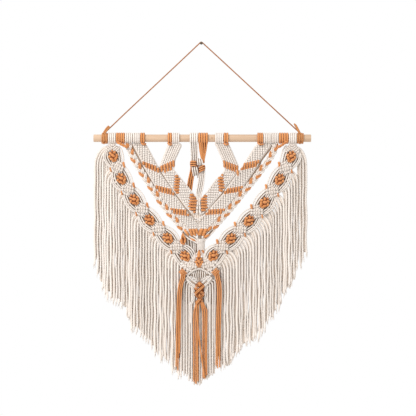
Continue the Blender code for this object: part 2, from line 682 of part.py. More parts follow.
def build_middle_knot():
    """Two cord bundles from the rod that cross in a knot of four lobes and part again."""
    crown, lobe, base = -22.6, -24.0, -16.0
    white = [rod_loops("knot_white")]
    white.append(panel([(-23.0, -7.0, 198.8, -19.0, -12.0), (-22.4, -5.8, 216.0, -19.0, -12.6),
                        (-21.6, -6.0, 229.0, -19.0, -13.4), (-18.0, -6.0, 232.6, -18.0, -14.6),
                        (-18.0, -6.0, 258.0, -18.0, -14.6)], 3, 1.2))
    white.append(panel([(-9.0, 3.0, 232.8, crown, base), (-9.2, 3.6, 236.0, lobe, base),
                        (-9.2, 3.6, 240.4, lobe, base), (-9.0, 2.6, 243.4, crown, base)], 2, 1.0))
    white.append(panel([(-19.0, -6.0, 249.0, crown, base), (-19.6, -5.6, 252.4, lobe, base),
                        (-19.2, -5.6, 258.8, lobe, base), (-17.4, -5.8, 262.2, crown, base)], 2, 1.0))
    white.append(panel([(-10.0, 8.4, 257.6, -18.4, -14.6), (-9.0, 8.8, 262.4, -18.0, -14.0),
                        (-7.6, 8.0, 272.0, -17.4, -13.4), (-11.6, 4.4, 298.0, -17.0, -13.0),
                        (-8.2, -1.4, 308.4, -15.6, -12.4)], 3, 1.5))
    fuse("middle_knot_white", white, NATURAL)

    under = -14.1
    orange = [rod_loops("knot_orange")]
    orange.append(panel([(-5.8, 13.0, 198.8, -19.0, -12.0), (-4.8, 11.6, 212.0, -19.0, -11.6),
                         (-4.6, 7.6, 226.0, -18.0, -10.8), (-0.6, 5.4, 231.6, under, -10.8),
                         (0.0, 7.0, 246.0, under, -10.8)], 3, 0.9))
    orange.append(panel([(-4.4, 7.0, 244.0, crown, -18.5), (-5.0, 7.6, 247.4, lobe, -18.5),
                         (-4.8, 7.4, 253.4, lobe, -18.5), (-3.6, 5.8, 257.0, crown, -18.5)],
                        2, 1.0))
    orange.append(panel([(-1.0, 6.6, 244.4, -19.2, -11.0), (-1.0, 6.6, 256.6, -19.2, -11.0)], 1, 0.2))
    orange.append(panel([(-22.0, -10.6, 233.8, crown, -18.5), (-22.6, -9.8, 237.2, lobe, -18.5),
                         (-22.6, -9.8, 244.6, lobe, -18.5), (-21.4, -10.4, 248.4, crown, -18.5)],
                        2, 1.0))
    orange.append(panel([(-22.2, -18.6, 235.4, -19.4, -11.0), (-22.2, -18.6, 247.6, -19.4, -11.0)],
                        1, 0.2))
    orange.append(panel([(-22.0, 4.0, 238.0, under, -11.0), (-22.0, 4.0, 247.0, under, -11.0)],
                        1, 0.2))
    orange.append(panel([(-21.6, -12.8, 244.0, under, -10.8), (-22.4, -13.4, 254.0, under, -10.6),
                         (-26.4, -15.8, 276.0, -11.8, -8.6), (-28.0, -17.6, 284.0, -9.4, -6.2),
                         (-28.2, -19.0, 296.0, -9.2, -6.2)], 3, 1.1))
    fuse("middle_knot_orange", orange, ORANGE)


def build_neck():
    """The white wrapped neck under the two leaves: one ridge for each turn of its cord."""
    top, foot, turns = 388.0, 414.0, 6
    rings = []
    for step in range(2 * turns + 1):
        share = step / (2 * turns)
        grow = 1.0 if step % 2 else 0.86
        rings.append([at(mix(-0.6, -0.9, share) + 7.6 * grow * math.cos(angle),
                         -16.0 + 5.6 * grow * math.sin(angle), mix(top, foot, share))
                      for angle in (math.pi * (k + 0.5) / 4 for k in range(8))])
    fuse("neck", [skin(rings), cord_solid([(-2.4, -14.6, 411.0), (-4.0, -14.6, 422.6)], 5.0, 6)],
         NATURAL)


# ---------------------------------------------------------------- lens, lattice and tassels
def lens_ring(a, b, share):
    """A section across the lens's bar, with two ridges."""
    outer = Point(mix(a.outer_x, b.outer_x, share), mix(a.outer_drop, b.outer_drop, share))
    inner = Point(mix(a.inner_x, b.inner_x, share), mix(a.inner_drop, b.inner_drop, share))
    return band_ring(outer, inner, -19.0, -11.4, 2, 1.2)


def build_lens():
    """The almond of knotted bars, with bowed strands across its opening."""
    rings = [lens_ring(a, b, 0.0) for a, b in zip(LENS, LENS[1:] + LENS[:1])]
    solids = [skin(rings, closed=True)]
    for number in range(6):
        share = (number - 2.5) / 2.5
        x = -4.2 + 12.4 * share
        bow = 2.0 * share
        solids.append(cord_solid([(x - bow, -15.0, 454.0 + 3.2 * share ** 2),
                                  (x + bow * 0.4, -15.6, 465.6),
                                  (x * 0.8 - bow, -15.0, 481.5 - 7.4 * abs(share))], 3.4))
    fuse("lens", solids, NATURAL)


def build_lattice():
    """Orange knots under the lens, and the orange cords that hang from them."""
    y = -16.0
    solids = [
        panel([(-6.0, -1.0, 487.6, -18.0, -14.0), (-12.2, 5.2, 493.0, -19.6, -13.0),
               (-12.0, 5.0, 499.0, -19.6, -13.0), (-9.4, 2.6, 503.0, -18.6, -13.6)], 4, 1.3),
        cord_solid([(-8.0, y, 500.6), (-9.2, y, 506.4), (-6.0, y, 512.4), (-2.6, y, 517.0)], 4.4),
        cord_solid([(1.6, y, 500.6), (3.0, y, 506.4), (0.2, y, 512.4), (-3.4, y, 517.0)], 4.4),
        panel([(-7.4, 1.6, 511.0, -18.8, -13.6), (-9.0, 3.4, 516.0, -19.6, -13.0),
               (-8.6, 3.0, 522.0, -18.8, -13.4)], 3, 1.3),
    ]
    for top_x, low_x, end in ((-6.8, -15.0, 677.0), (-3.2, -10.4, 680.0), (-1.0, 5.0, 668.0),
                              (1.4, 10.4, 664.0)):
        path = [(top_x, y, 520.0), (mix(top_x, low_x, 0.75), y + 0.4, 548.0),
                (low_x, y + 0.8, 600.0), (low_x, y + 1.2, end)]
        solids.append(cord_solid(path, 4.0))
    fuse("lattice", solids, ORANGE)


def build_side_tassel(name, head, ends):
    """An orange knot beside the lens with the cords that hang from it."""
    y = -21.4
    solids = [panel([(head.x - 5.4, head.x + 4.4, head.drop - 8.6, y - 1.6, y + 1.6),
                     (head.x - 6.4, head.x + 5.2, head.drop - 3.0, y - 3.0, y + 1.8),
                     (head.x - 6.2, head.x + 4.8, head.drop + 4.0, y - 3.0, y + 1.8),
                     (head.x - 5.0, head.x + 2.6, head.drop + 9.0, y - 1.6, y + 1.6)], 3, 1.2)]
    for number, (x, drop) in enumerate(ends):
        top_x = head.x - 3.6 + number * 3.4
        path = [(top_x, y, head.drop + 7.0), (mix(top_x, x, 0.5), y + 2.0, head.drop + 34.0),
                (mix(top_x, x, 0.8), y + 4.4, 560.0), (x, y + 4.8, drop)]
        solids.append(cord_solid(path, 3.1))
    fuse(name, solids, ORANGE)


# ---------------------------------------------------------------- fringe
def strip_path(side):
    """The line of a fringe's backing, behind the outer edge of its border."""
    berries, knots = BERRIES[side], crossings(side)
    path = [(knots[0], across(knots[0], berries[0], side), 17.0)]
    for start, berry, end in zip(knots, berries, knots[1:]):
        path.append((berry, across(start, end, side), 17.0))
        path.append((end, across(start, end, side), 15.0))
    path = path[:-1]
    return [Point(place.x - step.x * out, place.drop - step.y * out) for place, step, out in path]


def fringe_strand(root, x, layer_y, width, sway):
    """A strand that leaves its backing, rounds a shoulder and hangs straight."""
    end = height_at(HEM, x) + sway
    shoulder = root.drop + 12.0 + 0.6 * abs(x - root.x)
    path = [(root.x, layer_y, root.drop), (x, layer_y, shoulder),
            (x + 0.25 * math.sin(x), layer_y, end)]
    return cord_solid(path, width, 3)


def build_fringe(name, path, hang_from, hang_to, lean):
    """A fringe: strands in two layers, with their roots fused into a narrow backing strip."""
    line = smooth(path, 1)
    run = lengths_along(line)
    outward = 1 if hang_to > hang_from else -1
    strip = []
    for i, (x, drop) in enumerate(line):
        before, after = line[max(i - 1, 0)], line[min(i + 1, len(line) - 1)]
        step = Vector((after[0] - before[0], after[1] - before[1])).normalized()
        half = STRIP_HALF_WIDTH
        strip.append([at(x + step.y * half, STRIP_FRONT, drop - step.x * half),
                      at(x + step.y * half, STRIP_BACK, drop - step.x * half),
                      at(x - step.y * half, STRIP_BACK, drop + step.x * half),
                      at(x - step.y * half, STRIP_FRONT, drop + step.x * half)])
    strands = []
    count = int(abs(hang_to - hang_from) / STRAND_PITCH)
    for number in range(count + 1):
        x = mix(hang_from, hang_to, number / count)
        i = next((k for k in range(1, len(line))
                  if (line[k][0] - lean * max(0.0, 1 - run[k] / 60.0) * outward - x) * outward >= 0),
                 len(line) - 1)
        low = line[i - 1][0] - lean * max(0.0, 1 - run[i - 1] / 60.0) * outward
        high = line[i][0] - lean * max(0.0, 1 - run[i] / 60.0) * outward
        share = min(1.0, max(0.0, (x - low) / (high - low)))
        root = Point(*(mix(a, b, share) for a, b in zip(line[i - 1], line[i])))
        layer = FRONT_LAYER_Y if number % 2 else BACK_LAYER_Y
        strands.append(fringe_strand(root, x, layer, STRAND, 5.0 * math.sin(2.3 * number)))
    fuse(name, [skin(strip), join_apart(strands)], NATURAL)


def build_fringes():
    """The fringe along each side of the border, and the one under the lens."""
    left, right = strip_path("left"), strip_path("right")
    build_fringe("fringe_left", left, -212.6, left[-1].x, 12.0)
    build_fringe("fringe_right", right, 212.8, right[-1].x, 12.0)
    under = [Point(-33.0, 462.0), Point(-20.0, 474.0), Point(-4.0, 481.0),
             Point(10.0, 474.0), Point(24.0, 461.0)]
    build_fringe("fringe_middle", under, -33.0, 24.0, 0.0)


def main():
    """Build every piece of the hanging."""
    for old in list(bpy.data.objects):
        bpy.data.objects.remove(old)
    build_rod()
    build_nail()
    build_hanging_cord()
    build_hanger_knots()
    build_leaves()
    build_plaits()
    build_orange_loops()
    for side in BERRIES:
        build_border(side)
    build_berries()
    build_middle_knot()
    build_neck()
    build_lens()
    build_lattice()
    build_side_tassel("tassel_left", Point(-36.6, 458.4),
                      ((-50.6, 650.0), (-46.6, 654.0), (-42.6, 648.0)))
    build_side_tassel("tassel_right", Point(28.4, 457.4),
                      ((29.4, 644.0), (33.2, 650.0), (37.0, 646.0)))
    build_fringes()


main()
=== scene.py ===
"""Looks of a macrame wall hanging: cotton cords knotted on a wooden rod that hangs from a nail.

Everything soft is made of cords.  A cord is swept along its route, and a half hitch is a closed turn
of cord round the cord that carries it.  Routes and places are in millimetres: x to the right of the
nail, y from the wall (the viewer is at -y), and drop straight down from the nail.
"""

import logging
import math
import random
from dataclasses import dataclass, field
from enum import Enum
from typing import Callable, NamedTuple, Optional, Sequence, Union

import bmesh
import bpy
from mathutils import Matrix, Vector


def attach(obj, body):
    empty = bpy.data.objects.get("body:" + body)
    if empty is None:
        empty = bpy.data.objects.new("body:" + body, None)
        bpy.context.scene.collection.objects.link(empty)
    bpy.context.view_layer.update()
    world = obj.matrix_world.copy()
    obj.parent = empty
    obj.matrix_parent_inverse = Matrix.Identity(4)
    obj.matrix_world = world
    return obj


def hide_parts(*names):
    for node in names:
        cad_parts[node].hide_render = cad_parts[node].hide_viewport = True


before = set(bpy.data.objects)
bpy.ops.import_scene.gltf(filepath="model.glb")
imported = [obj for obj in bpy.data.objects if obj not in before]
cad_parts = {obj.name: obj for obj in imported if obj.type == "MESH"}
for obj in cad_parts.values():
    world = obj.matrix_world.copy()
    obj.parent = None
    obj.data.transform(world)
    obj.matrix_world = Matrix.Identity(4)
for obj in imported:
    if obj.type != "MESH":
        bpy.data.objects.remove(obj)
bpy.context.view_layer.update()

LOG = logging.getLogger("wall_hanging")
MM = 0.001
BODY = "root"                   # the hanging is one body

ROD_X = 2.0
ROD_Y = -12.4
ROD_DROP = 190.0
ROD_RADIUS = 7.5
ROD_LENGTH = 435.0
LOOP_RADIUS = 11.6              # of the cords wound on the rod, to their outside
CLOSE_SET = 0.49                # a turn's half width for its pitch, so that a crease stays between turns
CLOTH_Y = -14.0                 # the middle of the knotted leaves' thickness

Place = tuple[float, float, float]
Route = Sequence[Place]
Colour = tuple[float, float, float]
Value = Union[bpy.types.NodeSocket, float, int, bool, str, tuple]


# ---------------------------------------------------------------- plain geometry
class Point(NamedTuple):
    """A place on the cloth."""
    x: float
    drop: float


def at(x: float, y: float, drop: float) -> Vector:
    """A point in metres from its x, y and drop in millimetres."""
    return Vector((x, y, -drop)) * MM


def mix(a: float, b: float, share: float) -> float:
    """The value that lies this share of the way from a to b."""
    return a + (b - a) * share


def smooth(points: Sequence[tuple], steps: int) -> list[tuple]:
    """A smooth curve through given points.

    Args:
        points: the places that the curve passes.
        steps: how many steps it makes between two of them.

    Returns:
        The curve's points, with the last given place at its end.
    """
    ends = [points[0]] + list(points) + [points[-1]]
    curve = []
    for before, start, end, after in zip(ends, ends[1:], ends[2:], ends[3:]):
        for step in range(steps):
            t = step / steps
            curve.append(tuple(
                0.5 * (2 * b + (c - a) * t + (2 * a - 5 * b + 4 * c - d) * t * t
                       + (3 * b - a - 3 * c + d) * t ** 3)
                for a, b, c, d in zip(before, start, end, after)))
    return curve + [tuple(points[-1])]


def spaced(route: Sequence[tuple], step: float) -> list[tuple]:
    """The same route with points at even distances.

    Args:
        route: the places of a route, of any number of values each.
        step: the wanted distance between two points.

    Returns:
        The points, with both ends kept.
    """
    run = [0.0]
    for a, b in zip(route, route[1:]):
        run.append(run[-1] + math.dist(a, b))
    count = max(1, round(run[-1] / step))
    points, i = [], 1
    for number in range(count + 1):
        wanted = run[-1] * number / count
        while i < len(run) - 1 and run[i] < wanted:
            i += 1
        share = (wanted - run[i - 1]) / max(run[i] - run[i - 1], 1e-9)
        points.append(tuple(mix(a, b, share) for a, b in zip(route[i - 1], route[i])))
    return points


def flowing(points: Sequence[tuple], steps: int, spacing: float) -> list[tuple]:
    """A smooth curve through given points, with its own points at even distances."""
    return spaced(smooth(points, steps), spacing)


def headings(line: Sequence[tuple]) -> list[Vector]:
    """The direction of a flat line at each of its points.

    Args:
        line: the line's (x, drop) places.

    Returns:
        One unit vector for each place.
    """
    result = []
    for i in range(len(line)):
        before, after = line[max(i - 1, 0)], line[min(i + 1, len(line) - 1)]
        result.append(Vector((after[0] - before[0], after[1] - before[1])).normalized())
    return result


def height_at(table: Sequence[Point], x: float) -> float:
    """The drop of a line of points at x.

    Args:
        table: the points, from left to right.
        x: where the line is read.

    Returns:
        The drop there, or past an end the drop of that end.
    """
    for a, b in zip(table, table[1:]):
        if x <= b.x:
            return mix(a.drop, b.drop, max(0.0, (x - a.x) / (b.x - a.x)))
    return table[-1].drop


class NodeWork:
    """A node tree and the steps that finishes and Geometry Nodes share."""

    def __init__(self, tree: bpy.types.NodeTree) -> None:
        """Keep the tree that the nodes go in."""
        self.tree = tree

    def node(self, kind: str, inputs: dict, **settings: Value) -> bpy.types.Node:
        """Add a node.

        Args:
            kind: the node's type.
            inputs: sockets to join, or values to set, by the input's name or number.
            settings: the node's own options.

        Returns:
            The new node.
        """
        node = self.tree.nodes.new(kind)
        for key, value in settings.items():
            setattr(node, key, value)
        for key, value in inputs.items():
            if isinstance(value, bpy.types.NodeSocket):
                self.tree.links.new(value, node.inputs[key])
            else:
                node.inputs[key].default_value = value
        return node

    def math(self, operation: str, a: Value, b: Value = 0.0) -> bpy.types.NodeSocket:
        """The result of a sum on two values."""
        return self.node('ShaderNodeMath', {0: a, 1: b}, operation=operation).outputs[0]


# ---------------------------------------------------------------- finishes
class Shading(NodeWork):
    """A material's nodes and the few steps needed to join them."""

    def __init__(self, name: str) -> None:
        """Start a material that holds only its Principled shader.

        Args:
            name: the material's name.
        """
        self.material = bpy.data.materials.new(name)
        self.material.use_nodes = True
        super().__init__(self.material.node_tree)
        self.shader = self.tree.nodes["Principled BSDF"]

    def where(self) -> bpy.types.NodeSocket:
        """The place on the piece, in the shared frame."""
        return self.node('ShaderNodeTexCoord', {}).outputs["Object"]

    def scaled(self, vector: Value, factors: Place) -> bpy.types.NodeSocket:
        """A vector with each of its parts multiplied."""
        return self.node('ShaderNodeVectorMath', {0: vector, 1: factors}, operation='MULTIPLY').outputs[0]

    def noise(self, vector: Value, scale: float, detail: float, roughness: float = 0.5,
              distortion: float = 0.0) -> bpy.types.NodeSocket:
        """Noise on a vector.

        Args:
            vector: where the noise is read.
            scale: its scale.
            detail: how many finer layers it has.
            roughness: how strong the finer layers are.
            distortion: how much it is bent.

        Returns:
            Its value, about 0.5 on the whole.
        """
        return self.node('ShaderNodeTexNoise', {
            "Vector": vector, "Scale": scale, "Detail": detail, "Roughness": roughness,
            "Distortion": distortion}).outputs["Fac"]

    def blend(self, share: Value, a: Value, b: Value) -> bpy.types.NodeSocket:
        """A colour between a and b."""
        return self.node('ShaderNodeMix', {0: share, 6: a, 7: b}, data_type='RGBA').outputs[2]

    def ramp(self, value: Value, low: float, high: float) -> bpy.types.NodeSocket:
        """The value's share of the way from low to high, kept between 0 and 1."""
        return self.node('ShaderNodeMapRange',
                         {"Value": value, "From Min": low, "From Max": high}).outputs[0]

    def paint(self, colour: Value, height: Value, strength: float, distance: float) -> None:
        """Join a colour and a bump height to the shader.

        Args:
            colour: the base colour.
            height: the bump's height.
            strength: how much of the bump is used.
            distance: how high the bump stands, in metres.
        """
        bump = self.node('ShaderNodeBump', {"Strength": strength, "Distance": distance,
                                            "Height": height})
        self.tree.links.new(colour, self.shader.inputs["Base Color"])
        self.tree.links.new(bump.outputs[0], self.shader.inputs["Normal"])

    def even(self, values: dict[str, Value]) -> None:
        """Set the shader's inputs that are the same all over the surface."""
        for name, value in values.items():
            self.shader.inputs[name].default_value = value


def solid(colour: Colour) -> tuple[float, float, float, float]:
    """A colour with full cover."""
    return (*colour, 1.0)


@dataclass(frozen=True)
class CottonFinish:
    """Twisted cotton: soft, dull and fibrous, with painted shade that darkens the creases between its plies
    and between its turns.
    """
    name: str
    slot: str
    light: Colour
    shade: Colour
    # the colour of the painted shade in the creases
    crease: Colour
    sheen: float = 0.30

    def material(self) -> bpy.types.Material:
        """Make the material, or find it where it has been made.

        Returns:
            The material, which reads the cord's own lay and tone attributes and the attribute that holds the
            strength of the painted shade in its creases.
        """
        made = bpy.data.materials.get(self.name)
        if made:
            return made
        work = Shading(self.name)
        lay = work.node('ShaderNodeAttribute', {}, attribute_name="lay").outputs["Vector"]
        tone = work.node('ShaderNodeAttribute', {}, attribute_name="tone").outputs["Fac"]
        groove = work.node('ShaderNodeAttribute', {}, attribute_name="crease").outputs["Fac"]
        where = work.where()
        fibres = work.noise(work.scaled(lay, (3.2, 3.2, 90.0)), 2.0, 5.0, 0.62)
        fuzz = work.noise(where, 1900.0, 2.0)
        patches = work.noise(where, 38.0, 3.0)
        shares = work.math('ADD', work.math('MULTIPLY', work.ramp(fibres, 0.30, 0.72), 0.24),
                           work.math('MULTIPLY', work.ramp(patches, 0.30, 0.72), 0.22))
        shares = work.math('ADD', shares, work.math('MULTIPLY', tone, 0.54))
        body = work.blend(shares, solid(self.shade), solid(self.light))
        # painted shade: the creases are blended towards the dark crease colour
        depth = work.math('MULTIPLY', work.ramp(groove, 0.10, 1.0), 0.70)
        colour = work.blend(depth, body, solid(self.crease))
        height = work.math('ADD', work.math('MULTIPLY', fibres, 0.80), work.math('MULTIPLY', fuzz, 0.20))
        work.paint(colour, height, 0.35, 0.0004)
        work.even({"Roughness": 0.88, "Specular IOR Level": 0.18, "Sheen Weight": self.sheen,
                   "Sheen Roughness": 0.45})
        return work.material


@dataclass(frozen=True)
class WoodFinish:
    """Pale sanded wood with its grain along the rod, and one small brown knot mark."""
    name: str = "pale_wood_grain"
    slot: str = "pale_wood"
    light: Colour = (0.60, 0.43, 0.295)
    dark: Colour = (0.50, 0.335, 0.22)
    knot: Colour = (0.30, 0.14, 0.06)
    knot_at: Place = (21.4, -19.6, 189.8)

    def material(self) -> bpy.types.Material:
        """Make the wood.

        Returns:
            The material, on Object coordinates.
        """
        work = Shading(self.name)
        where = work.where()
        along = work.scaled(where, (9.0, 210.0, 210.0))
        rings = work.noise(along, 1.0, 6.0, 0.6, 0.6)
        pores = work.noise(along, 6.0, 3.0)
        grain = work.blend(work.ramp(rings, 0.34, 0.70), solid(self.light), solid(self.dark))
        grain = work.blend(work.math('MULTIPLY', work.ramp(pores, 0.56, 0.74), 0.35), grain,
                           solid(self.dark))
        centre = tuple(at(*self.knot_at))
        offset = work.node('ShaderNodeVectorMath', {0: where, 1: centre}, operation='SUBTRACT')
        flat = work.scaled(offset.outputs[0], (1.0, 1.6, 1.6))
        far = work.node('ShaderNodeVectorMath', {0: flat}, operation='LENGTH').outputs[1]
        mark = work.math('SUBTRACT', 1.0, work.ramp(far, 0.0009, 0.0026))
        work.paint(work.blend(work.math('MULTIPLY', mark, 0.8), grain, solid(self.knot)),
                   work.math('ADD', rings, pores), 0.22, 0.0004)
        work.even({"Roughness": 0.56, "Specular IOR Level": 0.35})
        return work.material


@dataclass(frozen=True)
class NailFinish:
    """Dark steel with scuffs on its head."""
    name: str = "dark_nail_steel"
    slot: str = "dark_nail"
    dark: Colour = (0.075, 0.06, 0.045)
    scuffed: Colour = (0.30, 0.25, 0.19)

    def material(self) -> bpy.types.Material:
        """Make the steel.

        Returns:
            The material, on Object coordinates.
        """
        work = Shading(self.name)
        scuffs = work.noise(work.where(), 900.0, 4.0)
        colour = work.blend(work.ramp(scuffs, 0.52, 0.72), solid(self.dark), solid(self.scuffed))
        work.paint(colour, scuffs, 0.30, 0.0002)
        work.even({"Roughness": 0.38, "Metallic": 0.9})
        return work.material


NATURAL = CottonFinish("natural_cotton_cord", "natural_cotton", (0.83, 0.765, 0.71),
                       (0.72, 0.635, 0.56), (0.38, 0.28, 0.205))
# painted shade: a darker copy of the natural finish, for cords that hang behind others
NATURAL_BACK_PAINTED_SHADE = CottonFinish("natural_cotton_cord_behind_painted_shade", "natural_cotton", (0.79, 0.70, 0.62),
                            (0.70, 0.60, 0.51), (0.42, 0.32, 0.24))
# painted shade: natural cord made dark, for cords that stand in for the shadow in gaps and behind knots
NATURAL_PAINTED_DEEP_SHADE = CottonFinish("natural_cotton_cord_painted_deep_shade", "natural_cotton", (0.44, 0.33, 0.24),
                            (0.33, 0.235, 0.17), (0.22, 0.15, 0.105), 0.05)
ORANGE = CottonFinish("rust_orange_cotton_cord", "rust_orange_cotton", (0.74, 0.34, 0.13),
                      (0.53, 0.18, 0.048), (0.19, 0.045, 0.010))
# painted shade: orange cord made dark, for the cores and lines that stand in for shadow
ORANGE_PAINTED_DEEP_SHADE = CottonFinish("rust_orange_cord_painted_deep_shade", "rust_orange_cotton", (0.27, 0.075, 0.020),
                           (0.19, 0.048, 0.012), (0.10, 0.022, 0.006), 0.05)
BROWN = CottonFinish("brown_cotton_cord", "brown_cord", (0.68, 0.31, 0.12),
                     (0.25, 0.085, 0.026), (0.12, 0.038, 0.012), 0.12)


# ---------------------------------------------------------------- Geometry Nodes
class Tree(NodeWork):
    """A Geometry Nodes tree and the few steps needed to build one."""

    def __init__(self, name: str) -> None:
        """Start a tree with a geometry input and a geometry output.

        Args:
            name: the tree's name.
        """
        super().__init__(bpy.data.node_groups.new(name, 'GeometryNodeTree'))
        for direction in ('INPUT', 'OUTPUT'):
            self.tree.interface.new_socket("Geometry", in_out=direction,
                                           socket_type='NodeSocketGeometry')
        self.start = self.tree.nodes.new('NodeGroupInput')
        self.end = self.tree.nodes.new('NodeGroupOutput')

    def size(self, name: str, kind: str = 'NodeSocketFloat') -> bpy.types.NodeSocket:
        """Add a named input and return its socket."""
        self.tree.interface.new_socket(name, in_out='INPUT', socket_type=kind)
        return self.start.outputs[name]

    def own(self, name: str, kind: str = 'FLOAT') -> bpy.types.NodeSocket:
        """The value of a named attribute of the input."""
        return self.node('GeometryNodeInputNamedAttribute', {"Name": name},
                         data_type=kind).outputs["Attribute"]

    def keep(self, geometry: Value, name: str, value: Value, kind: str = 'FLOAT') -> Value:
        """Write a named attribute on the points.

        Args:
            geometry: the geometry.
            name: the attribute's name.
            value: its field.
            kind: its type.

        Returns:
            The geometry with the attribute.
        """
        return self.node('GeometryNodeStoreNamedAttribute',
                         {"Geometry": geometry, "Name": name, "Value": value},
                         data_type=kind, domain='POINT').outputs[0]

    def capture(self, geometry: Value, name: str, value: Value, kind: str) -> bpy.types.Node:
        """Hold a field's value on the geometry's points.

        Args:
            geometry: the geometry.
            name: the name of the held value.
            value: the field.
            kind: its type.

        Returns:
            The node, with the geometry and the value among its outputs.
        """
        node = self.tree.nodes.new('GeometryNodeCaptureAttribute')
        node.capture_items.new(kind, name)
        self.tree.links.new(geometry, node.inputs["Geometry"])
        self.tree.links.new(value, node.inputs[name])
        return node

    def finish(self, geometry: Value, material: Value) -> None:
        """End the tree: realize the instances and set the material.

        Args:
            geometry: what the tree has made.
            material: its material.
        """
        real = self.node('GeometryNodeRealizeInstances', {"Geometry": geometry}).outputs[0]
        dressed = self.node('GeometryNodeSetMaterial', {"Geometry": real, "Material": material})
        self.tree.links.new(dressed.outputs[0], self.end.inputs[0])

    def grow(self, name: str, source: bpy.types.Object, values: dict) -> bpy.types.Object:
        """Run the tree on a source object and keep the result as a plain mesh.

        Args:
            name: the new piece's name.
            source: the object that the tree reads, which is removed.
            values: the tree's inputs by name.

        Returns:
            The finished piece, at the origin.
        """
        modifier = source.modifiers.new("grow", 'NODES')
        modifier.node_group = self.tree
        for item in self.tree.interface.items_tree:
            if item.in_out == 'INPUT' and item.name in values:
                modifier[item.identifier] = values[item.name]
        graph = bpy.context.evaluated_depsgraph_get()
        mesh = bpy.data.meshes.new_from_object(source.evaluated_get(graph))
        mesh.name = name
        mesh.shade_smooth()
        source.modifiers.clear()
        bpy.data.objects.remove(source)
        return put(name, mesh)


def put(name: str, mesh: bpy.types.Mesh) -> bpy.types.Object:
    """Put a mesh in the scene.

    Args:
        name: the object's name.
        mesh: the mesh.

    Returns:
        The object that holds it, at the origin.
    """
    piece = bpy.data.objects.new(name, mesh)
    bpy.context.scene.collection.objects.link(piece)
    return piece


def joined(name: str, pieces: Sequence[bpy.types.Object]) -> bpy.types.Object:
    """One piece from several of the same finish.

    Args:
        name: the new piece's name.
        pieces: the pieces, which are used up.

    Returns:
        The joined piece.
    """
    first = pieces[0]
    with bpy.context.temp_override(active_object=first, object=first,
                                   selected_editable_objects=list(pieces)):
        bpy.ops.object.join()
    first.name = name
    first.data.name = name
    return first


@dataclass
class Strand:
    """One cord: its route in (x, y, drop) and its thickness in millimetres, one or one a point."""
    route: Route
    thick: Union[float, Sequence[float]] = 4.0
    tone: float = 0.5


def lining(strands: Sequence[Strand], away: float = 3.6) -> list[Strand]:
    """The pale cords at the back of a layer painted dark as shade.

    Args:
        strands: the dark layer's cords.
        away: how far behind them the pale ones lie.

    Returns:
        One pale cord behind each dark one.
    """
    return [Strand([(x, y + away, drop) for x, y, drop in strand.route], strand.thick, 0.7)
            for strand in strands]


@dataclass
class Turn:
    """One closed turn of cord: its middle, its row's direction and its half sizes in millimetres."""
    middle: Place
    row: Vector
    half_width: float
    half_depth: float
    half_height: float
    tone: float = 0.5
    lean: float = 0.0               # how far its upper side stands back along the row, for its height


class CordKind(Enum):
    """How a cord is made: plies, relief, twist length, ring step and sides."""
    THREE_PLY = (3, 0.055, 0.0130, 0.0022, 9)
    FRINGE = (3, 0.055, 0.0150, 0.0026, 9)
    FINE = (2, 0.07, 0.0075, 0.0014, 8)
    WISP = (2, 0.0, 0.0200, 0.0035, 5)


class TurnKind(Enum):
    """A turn's rim as a share of its half size, slant, squareness, steps, the strength of its painted crease
    shade and that shade's narrowness.
    """
    HITCH = (0.40, 0.05, 0.72, 12, 0.90, 8)
    BAR_HITCH = (0.42, 0.04, 0.62, 12, 1.30, 4)
    FLAT_HITCH = (0.40, 0.10, 0.80, 12, 0.40, 8)
    ROD_LOOP = (0.168, 0.0, 1.0, 22, 1.00, 6)
    FINE_ROD_LOOP = (0.150, 0.25, 1.0, 22, 0.90, 6)


